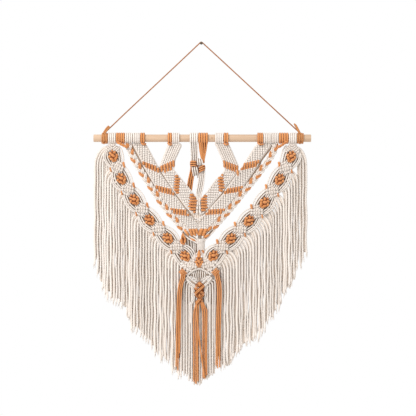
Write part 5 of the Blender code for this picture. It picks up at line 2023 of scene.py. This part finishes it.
# ---------------------------------------------------------------- lens, lattice and tassels
@dataclass
class Lens:
    """The almond of double knotted bars, with bowed cords across its opening."""
    works: CordWorks
    upper: tuple[Point, ...] = (Point(-30.0, 463.4), Point(-24.0, 456.6), Point(-15.2, 450.6),
                                Point(-4.6, 447.6), Point(6.0, 450.4), Point(14.8, 455.6),
                                Point(21.4, 462.6))
    lower: tuple[Point, ...] = (Point(-29.0, 466.4), Point(-20.6, 475.6), Point(-9.6, 483.6),
                                Point(-3.6, 486.6), Point(3.4, 482.4), Point(11.6, 475.0),
                                Point(19.4, 466.6))
    pitch: float = 3.2
    outer_half: float = 3.2
    inner_half: float = 2.5
    behind_xs: tuple[float, ...] = (-27.4, -22.8, -18.2, -13.6, -9.0, -4.4, 0.2, 4.8, 9.4, 14.0, 18.6)

    def bar(self, points: Sequence[Point], shift: float, half_height: float, y: float) -> list[Turn]:
        """A bar of hitches beside a bent line.

        Args:
            points: the line.
            shift: how far the bar lies below the line.
            half_height: half of the bar's width.
            y: its place from the wall.

        Returns:
            Its turns.
        """
        line = flowing(points, 6, 2.0)
        moved = []
        for number, ((x, drop), ahead) in enumerate(zip(line, headings(line))):
            from_end = min(number, len(line) - 1 - number) / (0.16 * len(line))
            off = shift * min(1.0, 0.6 + 0.4 * from_end)
            moved.append((x - ahead.y * off, drop + ahead.x * off))
        moved = spaced(moved, self.pitch)
        return [Turn(((ax + bx) / 2, y, (adrop + bdrop) / 2), Vector((bx - ax, bdrop - adrop)).normalized(),
                     math.dist((ax, adrop), (bx, bdrop)) * 0.52, 3.8, half_height,
                     self.works.tone(0.75, 0.15))
                for (ax, adrop), (bx, bdrop) in zip(moved, moved[1:])]

    def opening_cords(self) -> list[Strand]:
        """The bowed cords across the lens's opening.

        Returns:
            A fat cord at each end, and eight thin ones between the bars.
        """
        strands = [Strand([(x, -11.0, 452.0), (x, -11.0, 475.0)], 5.6, 0.3) for x in (-29.4, 20.6)]
        for number in range(8):
            share = (number - 3.5) / 3.5
            x = -4.2 + 14.4 * share
            route = [(x * 0.9, -13.2, 454.0 + 4.4 * share ** 2), (x + 1.6 * share, -14.8, 465.4),
                     (x * 0.55 - 1.6, -13.2, 480.6 - 8.0 * abs(share))]
            strands.append(Strand(flowing(route, 5, 2.4), 2.3 + 0.6 * share ** 2,
                                  self.works.tone(0.75, 0.25)))
        return strands

    def corner_knots(self) -> list[Turn]:
        """The crossed double bars at the lens's two ends.

        Returns:
            Their turns.
        """
        turns = []
        for foot in (Point(-30.6, 443.6), Point(27.4, 443.6)):
            for slope in (-1, 1):
                for shift in (-2.8, 2.8):
                    turns += bar_of_turns(
                        self.works, Point(foot.x - 7.6 + shift, foot.drop - (7.6 + shift) * slope),
                        Point(foot.x + 7.6 + shift, foot.drop + (7.6 - shift) * slope), -15.6 - 1.2 * slope)
        return turns

    def cords_round_berry(self) -> list[Strand]:
        """The cords that bow round the middle berry.

        Returns:
            Two cords on each side.
        """
        strands = []
        for sign in (-1, 1):
            for reach in (9.6, 13.0):
                route = [(-4.0 + 1.6 * sign, -14.0, 418.0), (-4.4 + (reach - 1.0) * sign, -15.0, 427.0),
                         (-4.6 + reach * sign, -15.6, 437.0), (-4.6 + (reach - 3.0) * sign, -15.0, 446.4),
                         (-4.6 + 3.0 * sign, -14.0, 451.0)]
                strands.append(Strand(flowing(route, 5, 2.4), 3.4, self.works.tone(0.7, 0.2)))
        return strands

    def shaded(self) -> list[Strand]:
        """The cords behind the lens and the lines between its bars and in its opening, all painted dark as
        shade.

        Returns:
            The cords at the back, and then the lines.
        """
        strands = []
        for x in self.behind_xs:
            away = 0.9 * abs(x + 4.6)
            strands.append(Strand([(x, -10.6, 424.0 + away), (x, -10.6, 482.0 - away)], 4.8, 0.0))
        for line in (self.upper, self.lower):
            strands.append(Strand([(x, -16.9, drop) for x, drop in flowing(line[1:-1], 6, 2.0)], 2.6, 0.2))
        for x, start, end in ((-19.4, 462.4, 465.6), (11.0, 461.2, 464.4), (-4.6, 468.0, 477.6)):
            strands.append(Strand([(x, -17.0, start), (x, -17.0, end)], 2.2, 0.0))
        return strands

    def build(self) -> None:
        """Make the four bars, the cords between them, the knots at both ends and the cords behind, which are
        painted dark as shade.
        """
        turns = self.bar(self.upper, -self.outer_half - 0.6, self.outer_half, -15.4)
        turns += self.bar(self.upper, self.inner_half + 0.6, self.inner_half, -14.8)
        turns += self.bar(self.lower, self.outer_half + 0.6, self.outer_half, -15.4)
        turns += self.bar(self.lower, -self.inner_half - 0.6, self.inner_half, -14.8)
        strands = self.opening_cords()
        crossed = self.corner_knots()
        strands += self.cords_round_berry()
        piece = joined("lens_cords", [self.works.turns("lens_bars", turns, NATURAL, TurnKind.FLAT_HITCH),
                                      self.works.turns("lens_corner_knots", crossed, NATURAL),
                                      self.works.sweep("lens_strands", strands, NATURAL)])
        hand_over(piece, NATURAL, "lens")
        shaded = self.shaded()
        # cords and lines painted dark as shade
        self.works.piece("cords_behind_lens", shaded, NATURAL_PAINTED_DEEP_SHADE)
        self.works.piece("lens_lining", lining(shaded[:len(self.behind_xs)]), NATURAL)


class Crossing(NamedTuple):
    """One doubled cord of the lattice: its ends, across and down from the lattice's top, its y and tone; the
    tone is painted light, lighter for cords that lie in front.
    """
    start: Point
    end: Point
    y: float
    tone: float


# painted light: cords that lie in front are set lighter, those behind darker
LATTICE = (
    Crossing(Point(0.8, 0.6), Point(-8.6, 10.6), -18.8, 0.7),
    Crossing(Point(-0.8, 0.8), Point(8.6, 9.6), -19.0, 0.7),
    Crossing(Point(-9.6, 10.4), Point(8.4, 23.4), -19.2, 0.6),
    Crossing(Point(8.6, 6.4), Point(-8.6, 22.8), -21.4, 0.95),
    Crossing(Point(-7.6, 23.4), Point(5.6, 37.6), -19.4, 0.6),
    Crossing(Point(7.4, 24.0), Point(-6.6, 42.6), -21.0, 0.95),
)
# lines of painted shade
DARK_LINES = (                  # over the lattice's front, across and down from its top
    (Point(-5.4, 4.0), Point(0.0, 10.0), Point(5.6, 4.8)),
    (Point(0.2, 20.4), Point(6.2, 26.4), Point(0.6, 32.4)),
    (Point(0.2, 20.4), Point(-5.8, 26.4), Point(0.6, 32.4)),
)


@dataclass
class OrangeLattice:
    """Crossed doubled orange cords under the lens, and the cords that hang from and beside them."""
    works: CordWorks
    cord: float = 2.5
    top: float = 478.0
    middle_x: float = -3.6
    ends: tuple[tuple[float, float, float], ...] = (
        (-14.8, 548.0, 677.0), (-10.8, 556.0, 681.0), (-6.8, 552.0, 676.0),
        (3.4, 552.0, 668.0), (7.2, 545.0, 671.0), (11.0, 540.0, 664.0))
    bend: tuple[Place, ...] = (
        (14.4, -13.6, 485.0), (11.4, -14.6, 493.0), (9.0, -14.8, 502.0), (11.0, -14.2, 513.0),
        (16.4, -12.8, 526.0), (17.6, -12.4, 560.0))

    def band(self, crossing: Crossing, beside: float, behind: float) -> list[Place]:
        """A line along one crossed cord, proud in its middle and tucked in at both ends.

        Args:
            crossing: the crossed cord.
            beside: how far the line lies beside its middle.
            behind: how far it lies behind it.

        Returns:
            The line's places.
        """
        run = Vector((crossing.end.x - crossing.start.x, crossing.end.drop - crossing.start.drop))
        side = Vector((-run.y, run.x)).normalized() * beside
        route = []
        for t in (0.0, 0.15, 0.5, 0.85, 1.0):
            place = Vector(crossing.start) + run * t + side
            route.append((self.middle_x + place.x, crossing.y + 7.0 * (t - 0.5) ** 2 + behind,
                          self.top + place.y))
        return smooth(route, 2)

    def crossed(self) -> list[Strand]:
        """The crossed cords, each one doubled, and the two short ones that bulge between them.

        Returns:
            The cords from the top down, the short ones last.
        """
        strands = []
        for crossing in LATTICE:
            for beside in (-1, 1):
                strands.append(Strand(self.band(crossing, self.cord * 0.5 * beside, 0.0), self.cord,
                                      crossing.tone + 0.08 * beside))
        # painted light: the upper short cord is set light as a highlight, the lower one dark as shade in its
        # hollow
        for start, end, y, tone in ((1.6, 8.0, -20.6, 0.8), (23.4, 29.6, -21.4, 0.25)):
            strands.append(Strand([(self.middle_x + 0.2, y + 1.4, self.top + start),
                                   (self.middle_x + 0.2, y, self.top + mix(start, end, 0.5)),
                                   (self.middle_x + 0.2, y + 1.4, self.top + end)], [3.6, 5.6, 3.6], tone))
        return strands

    def shaded(self) -> list[Strand]:
        """The lines beside each crossed cord and the cords behind the lattice, all painted dark as shade.

        Returns:
            The lines, and then the cords.
        """
        strands = []
        for crossing in LATTICE:
            for beside in (-1, 1):
                strands.append(Strand(self.band(crossing, (self.cord + 0.6) * beside, 0.4), 1.5, 0.1))
        for line in DARK_LINES:
            route = [(self.middle_x + x, -22.0, self.top + drop) for x, drop in line]
            strands.append(Strand(route, 1.7, 0.0))
        for x, start, end in ((-5.6, 9.0, 21.0), (-2.0, 4.0, 40.0), (2.0, 4.0, 40.0), (5.6, 9.0, 21.0)):
            strands.append(Strand([(self.middle_x + x, -16.0, self.top + start),
                                   (self.middle_x + x, -16.0, self.top + end)], 4.6, 0.1))
        return strands

    def hanging(self) -> list[Strand]:
        """The orange cords that hang from the lattice.

        Returns:
            Six cords from left to right, and the one that slants in front of them.
        """
        strands = []
        for number, (x, bend, end) in enumerate(self.ends):
            top = mix(-8.0, 2.4, number / (len(self.ends) - 1))
            route = [(top, -16.6, 517.0), (mix(top, x, 0.7), -16.8, 530.0), (x, -15.6, bend),
                     (x + 0.8 * math.sin(number * 2.1), -15.2, 610.0), (x, -15.0, end)]
            strands.append(Strand(flowing(route, 6, 3.0), 3.3, self.works.tone(0.5, 0.4)))
        slanting = [(-10.0, -19.0, 515.0), (-8.6, -19.6, 545.0), (-3.0, -19.4, 600.0), (4.4, -18.6, 655.0),
                    (5.6, -18.2, 669.0)]
        return strands + [Strand(flowing(slanting, 6, 3.0), 3.6, 0.6)]

    def white_cords(self) -> list[Strand]:
        """The white cords that bend inwards beside the lattice.

        Returns:
            Two cords on each side.
        """
        strands = []
        for sign in (-1, 1):
            for shift in (0.0, 3.2):
                route = [(self.middle_x + sign * (away + shift), y, drop) for away, y, drop in self.bend]
                strands.append(Strand(flowing(route, 5, 2.6), 3.4, self.works.tone(0.75, 0.2)))
        return strands

    def build(self) -> None:
        """Make the lattice with its hanging cords, the lines and cords painted dark as shade, and the white
        cords.
        """
        self.works.piece("lattice_cords", self.crossed() + self.hanging(), ORANGE, "lattice")
        # lines and cords painted dark as shade
        self.works.piece("lattice_behind", self.shaded(), ORANGE_PAINTED_DEEP_SHADE)
        self.works.piece("lattice_white_cords", self.white_cords(), NATURAL)


@dataclass
class SideTassel:
    """An orange knot beside the lens with three cords that hang from it."""
    works: CordWorks
    side: str
    head: Point
    ends: tuple[Point, ...]
    bulge: float = 0.0
    cord: float = 2.9

    def line(self, top: float, end: Point, behind: float) -> list[Place]:
        """The way of one hanging cord.

        Args:
            top: its x at the knot.
            end: its lower end.
            behind: how far it lies behind the front cords.

        Returns:
            Its places from the knot down.
        """
        route = [(top + 0.3 * self.bulge, -20.8 + behind, self.head.drop - 2.0),
                 (top + 0.8 * self.bulge, -21.2 + behind, self.head.drop + 10.0),
                 (mix(top, end.x, 0.6) + self.bulge, -19.6 + behind, self.head.drop + 36.0),
                 (mix(top, end.x, 0.85) + 0.4 * self.bulge, -17.4 + behind, 560.0),
                 (end.x, -16.8 + behind, end.drop)]
        return flowing(route, 6, 3.0)

    def build(self) -> None:
        """Make the knot, its cords and the core behind them, painted dark as shade."""
        strands = []
        down = 1 if self.side == "left" else -1
        for row in (-1, 0, 1):
            x, drop = self.head.x - 2.5 * row * down, self.head.drop + 2.7 * row
            strands.append(Strand(smooth(
                [(x - 4.6, -18.6, drop - 4.2 * down), (x - 2.0, -22.6, drop - 1.8 * down),
                 (x + 2.0, -22.8, drop + 1.8 * down), (x + 4.6, -18.8, drop + 4.2 * down)], 4),
                self.cord + 0.6, self.works.tone()))
        for number, (end, tone) in enumerate(zip(self.ends, (0.85, 0.4, 0.7))):
            top = self.head.x - 3.8 + number * 3.5
            strands.append(Strand(self.line(top, end, 0.0), self.cord, tone))
        self.works.piece(f"tassel_{self.side}_cords", strands, ORANGE, f"tassel_{self.side}")
        foot = Point(self.ends[1].x, self.ends[1].drop - 24.0)
        # the core, painted dark as the shade between the cords
        core = Strand(self.line(self.head.x, foot, 4.2), 7.4, 0.1)
        self.works.piece(f"tassel_{self.side}_core", [core], ORANGE_PAINTED_DEEP_SHADE)


# ---------------------------------------------------------------- fringe
HEM = (
    Point(-214.0, 436.0), Point(-206.0, 462.0), Point(-193.0, 505.0), Point(-152.0, 530.0),
    Point(-140.0, 569.0), Point(-130.0, 583.0), Point(-105.0, 593.0), Point(-95.0, 618.0),
    Point(-65.0, 641.0), Point(-60.0, 656.0), Point(-38.0, 664.0), Point(-18.0, 679.0),
    Point(-4.0, 680.6), Point(14.0, 670.0), Point(32.0, 651.0), Point(54.0, 647.0),
    Point(68.0, 628.0), Point(81.0, 610.0), Point(95.0, 605.0), Point(118.0, 585.0),
    Point(136.0, 557.0), Point(156.0, 533.0), Point(166.0, 500.0), Point(184.0, 484.0),
    Point(190.0, 452.0), Point(201.0, 444.0), Point(214.0, 410.0),
)


@dataclass
class Fringe:
    """The strands that leave the border's outer edge, round a shoulder and hang straight."""
    works: CordWorks
    side: str
    cord: float = 4.3
    back_cord: float = 5.2
    pitch: float = 5.7
    back_pitch: float = 4.7
    front_y: float = -11.8
    back_y: float = -7.0
    wave: float = 0.9
    wave_length: float = 78.0
    first_root: Point = Point(-187.0, 207.0)
    group_edges: tuple[float, ...] = (-192.0, -165.0, -139.0, -104.0, -71.0, -35.0)
    outer_edge: float = -213.0
    right_inset: float = 3.0         # how much nearer to the middle the right side's outer edge is

    @property
    def sign(self) -> int:
        """1 on the left side, and -1 on the right, which is the left side's mirror image."""
        return 1 if self.side == "left" else -1

    def roots(self) -> list[Point]:
        """The places where the fringe leaves the border.

        Returns:
            The outer ends of the crossings, from the rod down.
        """
        knots = crossings(self.side)
        result = [Point(self.first_root.x * self.sign, self.first_root.drop)]
        for number, band in enumerate(bands(self.side)[1:], 1):
            knot = knots[number]
            result.append(Point(knot.x - band.step.x * 14.0, knot.drop - band.step.y * 14.0))
        last = bands(self.side)[-1]
        result.append(Point(last.end.x - last.step.x * 12.0, last.end.drop - last.step.y * 12.0))
        return result

    def strand(self, root: Point, x: float, is_back: bool) -> Strand:
        """One strand of the fringe.

        Args:
            root: where it leaves the border.
            x: where it hangs.
            is_back: whether it hangs in the back layer.

        Returns:
            The strand.
        """
        layer = self.back_y if is_back else self.front_y
        chance = self.works.chance
        away = x - root.x
        reach = 5.0 + 1.35 * abs(away)
        end = height_at(HEM, x) + chance.uniform(-7.0, 7.0) - (7.0 if is_back else 0.0)
        sway = chance.uniform(-1.5, 1.5)
        route = [(root.x, -14.0, root.drop)]
        for angle in (22.0, 45.0, 68.0):
            share = math.radians(angle)
            route.append((root.x + away * math.sin(share), mix(-14.0, layer, angle / 90.0),
                          root.drop + reach * (1.0 - math.cos(share))))
        deep, start = chance.uniform(-0.7, 0.7), chance.uniform(0.0, 2 * math.pi)
        top = root.drop + reach
        for number in range(9):
            t = number / 8
            turn = start + 2 * math.pi * (end - top) * t / self.wave_length
            route.append((x + sway * t + self.wave * math.sin(turn) * min(1.0, 3.0 * t), layer + deep * t,
                          mix(top, end, t)))
        line = flowing(route, 3, 3.0)
        cord = (self.back_cord if is_back else self.cord) * chance.uniform(0.90, 1.10)
        sizes = [cord] * (len(line) - 4) + [cord * 1.06, cord * 1.12, cord * 0.95, cord * 0.45]
        return Strand(line, sizes, self.works.tone(0.6, 0.4))

    def filling(self, roots: list[Point]) -> list[Strand]:
        """Straight strands that close the corners between one group and the next.

        Args:
            roots: the outer ends of the crossings.

        Returns:
            The strands; on the right the two open corners near the rod stay open.
        """
        strands = []
        for number, (before, root, edge) in enumerate(zip(roots, roots[1:], self.group_edges), 1):
            if self.side == "right" and number < 3:
                continue
            for away in (-1.0, 3.0, 7.0, 11.0):
                x = (edge + away) * self.sign
                share = max(0.0, min(1.0, (x - before.x) / (root.x - before.x)))
                top = mix(before.drop, root.drop, share) + 4.0
                y = self.front_y + 2.6
                strands.append(Strand([(x, y, top), (x, y, root.drop + 34.0)], self.cord,
                                      self.works.tone(0.5, 0.3)))
        return strands

    def frayed(self, strand: Strand) -> list[Strand]:
        """The loosened ends of a strand.

        Args:
            strand: the strand.

        Returns:
            Three short thin wisps at its lower end.
        """
        x, y, drop = strand.route[-1]
        wisps = []
        for _ in range(3):
            lean, deep = self.works.chance.uniform(-2.4, 2.4), self.works.chance.uniform(-1.2, 1.2)
            long = self.works.chance.uniform(3.0, 8.0)
            wisps.append(Strand([(x + 0.3 * lean, y, drop - 5.0), (x + 0.7 * lean, y + 0.6 * deep, drop),
                                 (x + lean, y + deep, drop + long)], [2.0, 1.5, 0.5], strand.tone))
        return wisps

    def build(self) -> None:
        """Make the fringe's two layers."""
        roots = self.roots()
        layers: dict[bool, list[Strand]] = {False: [], True: []}
        outer_edge = self.outer_edge + (0.0 if self.side == "left" else self.right_inset)
        edges = (outer_edge,) + self.group_edges
        for group, (edge, after) in enumerate(zip(edges, edges[1:])):
            last = min(group + 1, len(roots) - 1)
            for is_back, pitch in ((False, self.pitch), (True, self.back_pitch)):
                count = max(3, round((after - edge) / pitch))
                for number in range(count):
                    share = (number + (0.5 if is_back else 0.0)) / count
                    x = mix(edge, after, share) * self.sign
                    spread = 0.0 if group == 0 else share * 0.85
                    root = Point(mix(roots[group].x, roots[last].x, spread),
                                 mix(roots[group].drop, roots[last].drop, spread))
                    if group == 0:
                        root = Point(root.x + share * 9.0 * self.sign, root.drop + 12.0 * share)
                    layers[is_back].append(self.strand(root, x, is_back))
        layers[False] += self.filling(roots)
        wisps = [wisp for strand in layers[False] for wisp in self.frayed(strand)]
        front = joined(f"fringe_{self.side}_front", [
            self.works.sweep(f"fringe_{self.side}_front", layers[False], NATURAL, CordKind.FRINGE),
            self.works.sweep(f"fringe_{self.side}_wisps", wisps, NATURAL, CordKind.WISP)])
        hand_over(front, NATURAL, f"fringe_{self.side}")
        # the back layer, in a shaded copy of the natural finish: painted shade
        self.works.piece(f"fringe_{self.side}_back", layers[True], NATURAL_BACK_PAINTED_SHADE, kind=CordKind.FRINGE)


@dataclass
class MiddleFringe:
    """The strands under the lens, which leave its lower edge in nested bends."""
    works: CordWorks
    left_x: float = -40.0
    right_x: float = 28.0
    middle_x: float = -3.6
    back_y: float = -7.4
    pitch: float = 5.4
    cord: float = 4.0
    roots: tuple[Point, ...] = (Point(-27.0, 468.0), Point(-20.0, 476.0), Point(-10.0, 484.0),
                                Point(-3.6, 489.0), Point(3.0, 484.0), Point(12.0, 476.0),
                                Point(19.0, 468.0))

    def build(self) -> None:
        """Make the strands, the short cords painted dark as shade between them and the layer behind in a
        shaded copy of the natural finish.
        """
        front, behind = [], []
        count = round((self.right_x - self.left_x) / self.pitch)
        for number in range(count + 1):
            x = mix(self.left_x, self.right_x, number / count)
            sway = self.works.chance.uniform(-0.9, 0.9)
            root_x = self.middle_x + (x - self.middle_x) * 0.64
            top = height_at(self.roots, root_x)
            end = height_at(HEM, x) + self.works.chance.uniform(-5.0, 5.0)
            route = [(root_x, -14.6, top), (mix(root_x, x, 0.7), -14.2, top + 3.6), (x, -12.8, top + 13.0),
                     (x + sway, -12.0, mix(top, end, 0.5)), (x - sway, -12.0, end)]
            line = flowing(route, 6, 3.0)
            sizes = [self.cord] * (len(line) - 2) + [self.cord * 1.1, self.cord * 0.5]
            front.append(Strand(line, sizes, self.works.tone(0.7, 0.3)))
            back_x = x + 2.2
            behind.append(Strand([(back_x, self.back_y, top - 4.0), (back_x, self.back_y, mix(top, end, 0.5)),
                                  (back_x, self.back_y, end - 4.0)], 5.0, self.works.tone(0.3, 0.3)))
        shade = [Strand([(mix(a[0], b[0], 0.5), a[1] + 2.6, mix(a[2], b[2], 0.5))
                         for a, b in zip(one.route[:18], other.route[:18])], 3.0, 0.4)
                 for one, other in zip(front, front[1:])]
        # cords painted dark as the shade between the strands
        self.works.piece("fringe_middle_shade", shade, NATURAL_PAINTED_DEEP_SHADE, kind=CordKind.FRINGE)
        self.works.piece("fringe_middle_cords", front, NATURAL, "fringe_middle", kind=CordKind.FRINGE)
        # the layer behind, in a shaded copy of the natural finish: painted shade
        self.works.piece("fringe_middle_behind", behind, NATURAL_BACK_PAINTED_SHADE, kind=CordKind.FRINGE)


# ---------------------------------------------------------------- studio
@dataclass
class Studio:
    """A plain pale floor, soft light and the camera at the front."""
    frame_width: float = 0.832           # what the picture takes in at the cloth, in metres
    distance: float = 3.2
    middle: tuple[float, float, float] = (0.0134, 0.0, -0.3296)
    floor_drop: float = 1.02
    sensor: float = 36.0

    def camera(self) -> None:
        """A long lens straight in front of the hanging."""
        data = bpy.data.cameras.new("front_camera")
        data.sensor_width = self.sensor
        data.lens = self.sensor * self.distance / self.frame_width
        data.clip_end = 50.0
        camera = bpy.data.objects.new("front_camera", data)
        camera.location = (self.middle[0], -self.distance + CLOTH_Y * MM, self.middle[2])
        camera.rotation_euler = (math.radians(90.0), 0.0, 0.0)
        bpy.context.scene.collection.objects.link(camera)
        bpy.context.scene.camera = camera

    def lamp(self, name: str, place: Place, size: float, power: float) -> None:
        """A soft square light that faces the hanging.

        Args:
            name: the light's name.
            place: where it stands, in metres.
            size: the length of its side.
            power: its power in watts.
        """
        data = bpy.data.lights.new(name, 'AREA')
        data.size = size
        data.energy = power
        lamp = bpy.data.objects.new(name, data)
        lamp.location = place
        lamp.rotation_euler = (Vector(self.middle) - Vector(place)).to_track_quat('-Z', 'Y').to_euler()
        bpy.context.scene.collection.objects.link(lamp)

    def floor(self) -> None:
        """A pale floor below the picture."""
        half = 1.4
        mesh = bpy.data.meshes.new("pale_floor")
        mesh.from_pydata([(-half, -half, -self.floor_drop), (half, -half, -self.floor_drop),
                          (half, half, -self.floor_drop), (-half, half, -self.floor_drop)], [],
                         [(0, 1, 2, 3)])
        work = Shading("pale_floor")
        work.even({"Base Color": solid((0.86, 0.85, 0.84)), "Roughness": 0.9})
        mesh.materials.append(work.material)
        put("pale_floor", mesh)

    def build(self) -> None:
        """Set up the world, the lights, the floor and the camera."""
        world = bpy.data.worlds.new("white_studio")
        world.use_nodes = True
        background = world.node_tree.nodes["Background"]
        background.inputs["Color"].default_value = (1.0, 1.0, 1.0, 1.0)
        background.inputs["Strength"].default_value = 1.0
        scene = bpy.context.scene
        scene.world = world
        scene.view_settings.view_transform = 'Standard'
        self.camera()
        self.lamp("key", (-1.7, -2.0, 1.2), 0.7, 55.0)
        self.floor()


def main() -> None:
    """Build the studio and every piece of the hanging."""
    logging.basicConfig(level=logging.INFO, format="%(name)s %(message)s")
    Studio().build()
    works = CordWorks()
    HangingCord(works).build()
    WoodenRod().build()
    WallNail().build()
    OrangeLoops(works).build()
    for name in LEAF_ROWS:
        KnottedLeaf(works, name).build()
    Seams(works).build()
    for side in BERRIES:
        Plait(works, side, PLAIT_START[side]).build()
        Rope(works, side).build()
        BerryBorder(works, side).build()
    build_berries(works)
    MiddleKnot(works).build()
    WrappedNeck(works).build()
    Lens(works).build()
    OrangeLattice(works).build()
    SideTassel(works, "left", Point(-36.6, 458.4),
               (Point(-50.2, 646.0), Point(-46.8, 654.0), Point(-43.6, 620.0))).build()
    SideTassel(works, "right", Point(28.4, 457.4),
               (Point(29.6, 644.0), Point(32.8, 650.0), Point(36.4, 648.0)), bulge=5.2).build()
    for side in BERRIES:
        Fringe(works, side).build()
    MiddleFringe(works).build()
    works.clear()


if __name__ == "__main__":
    main()
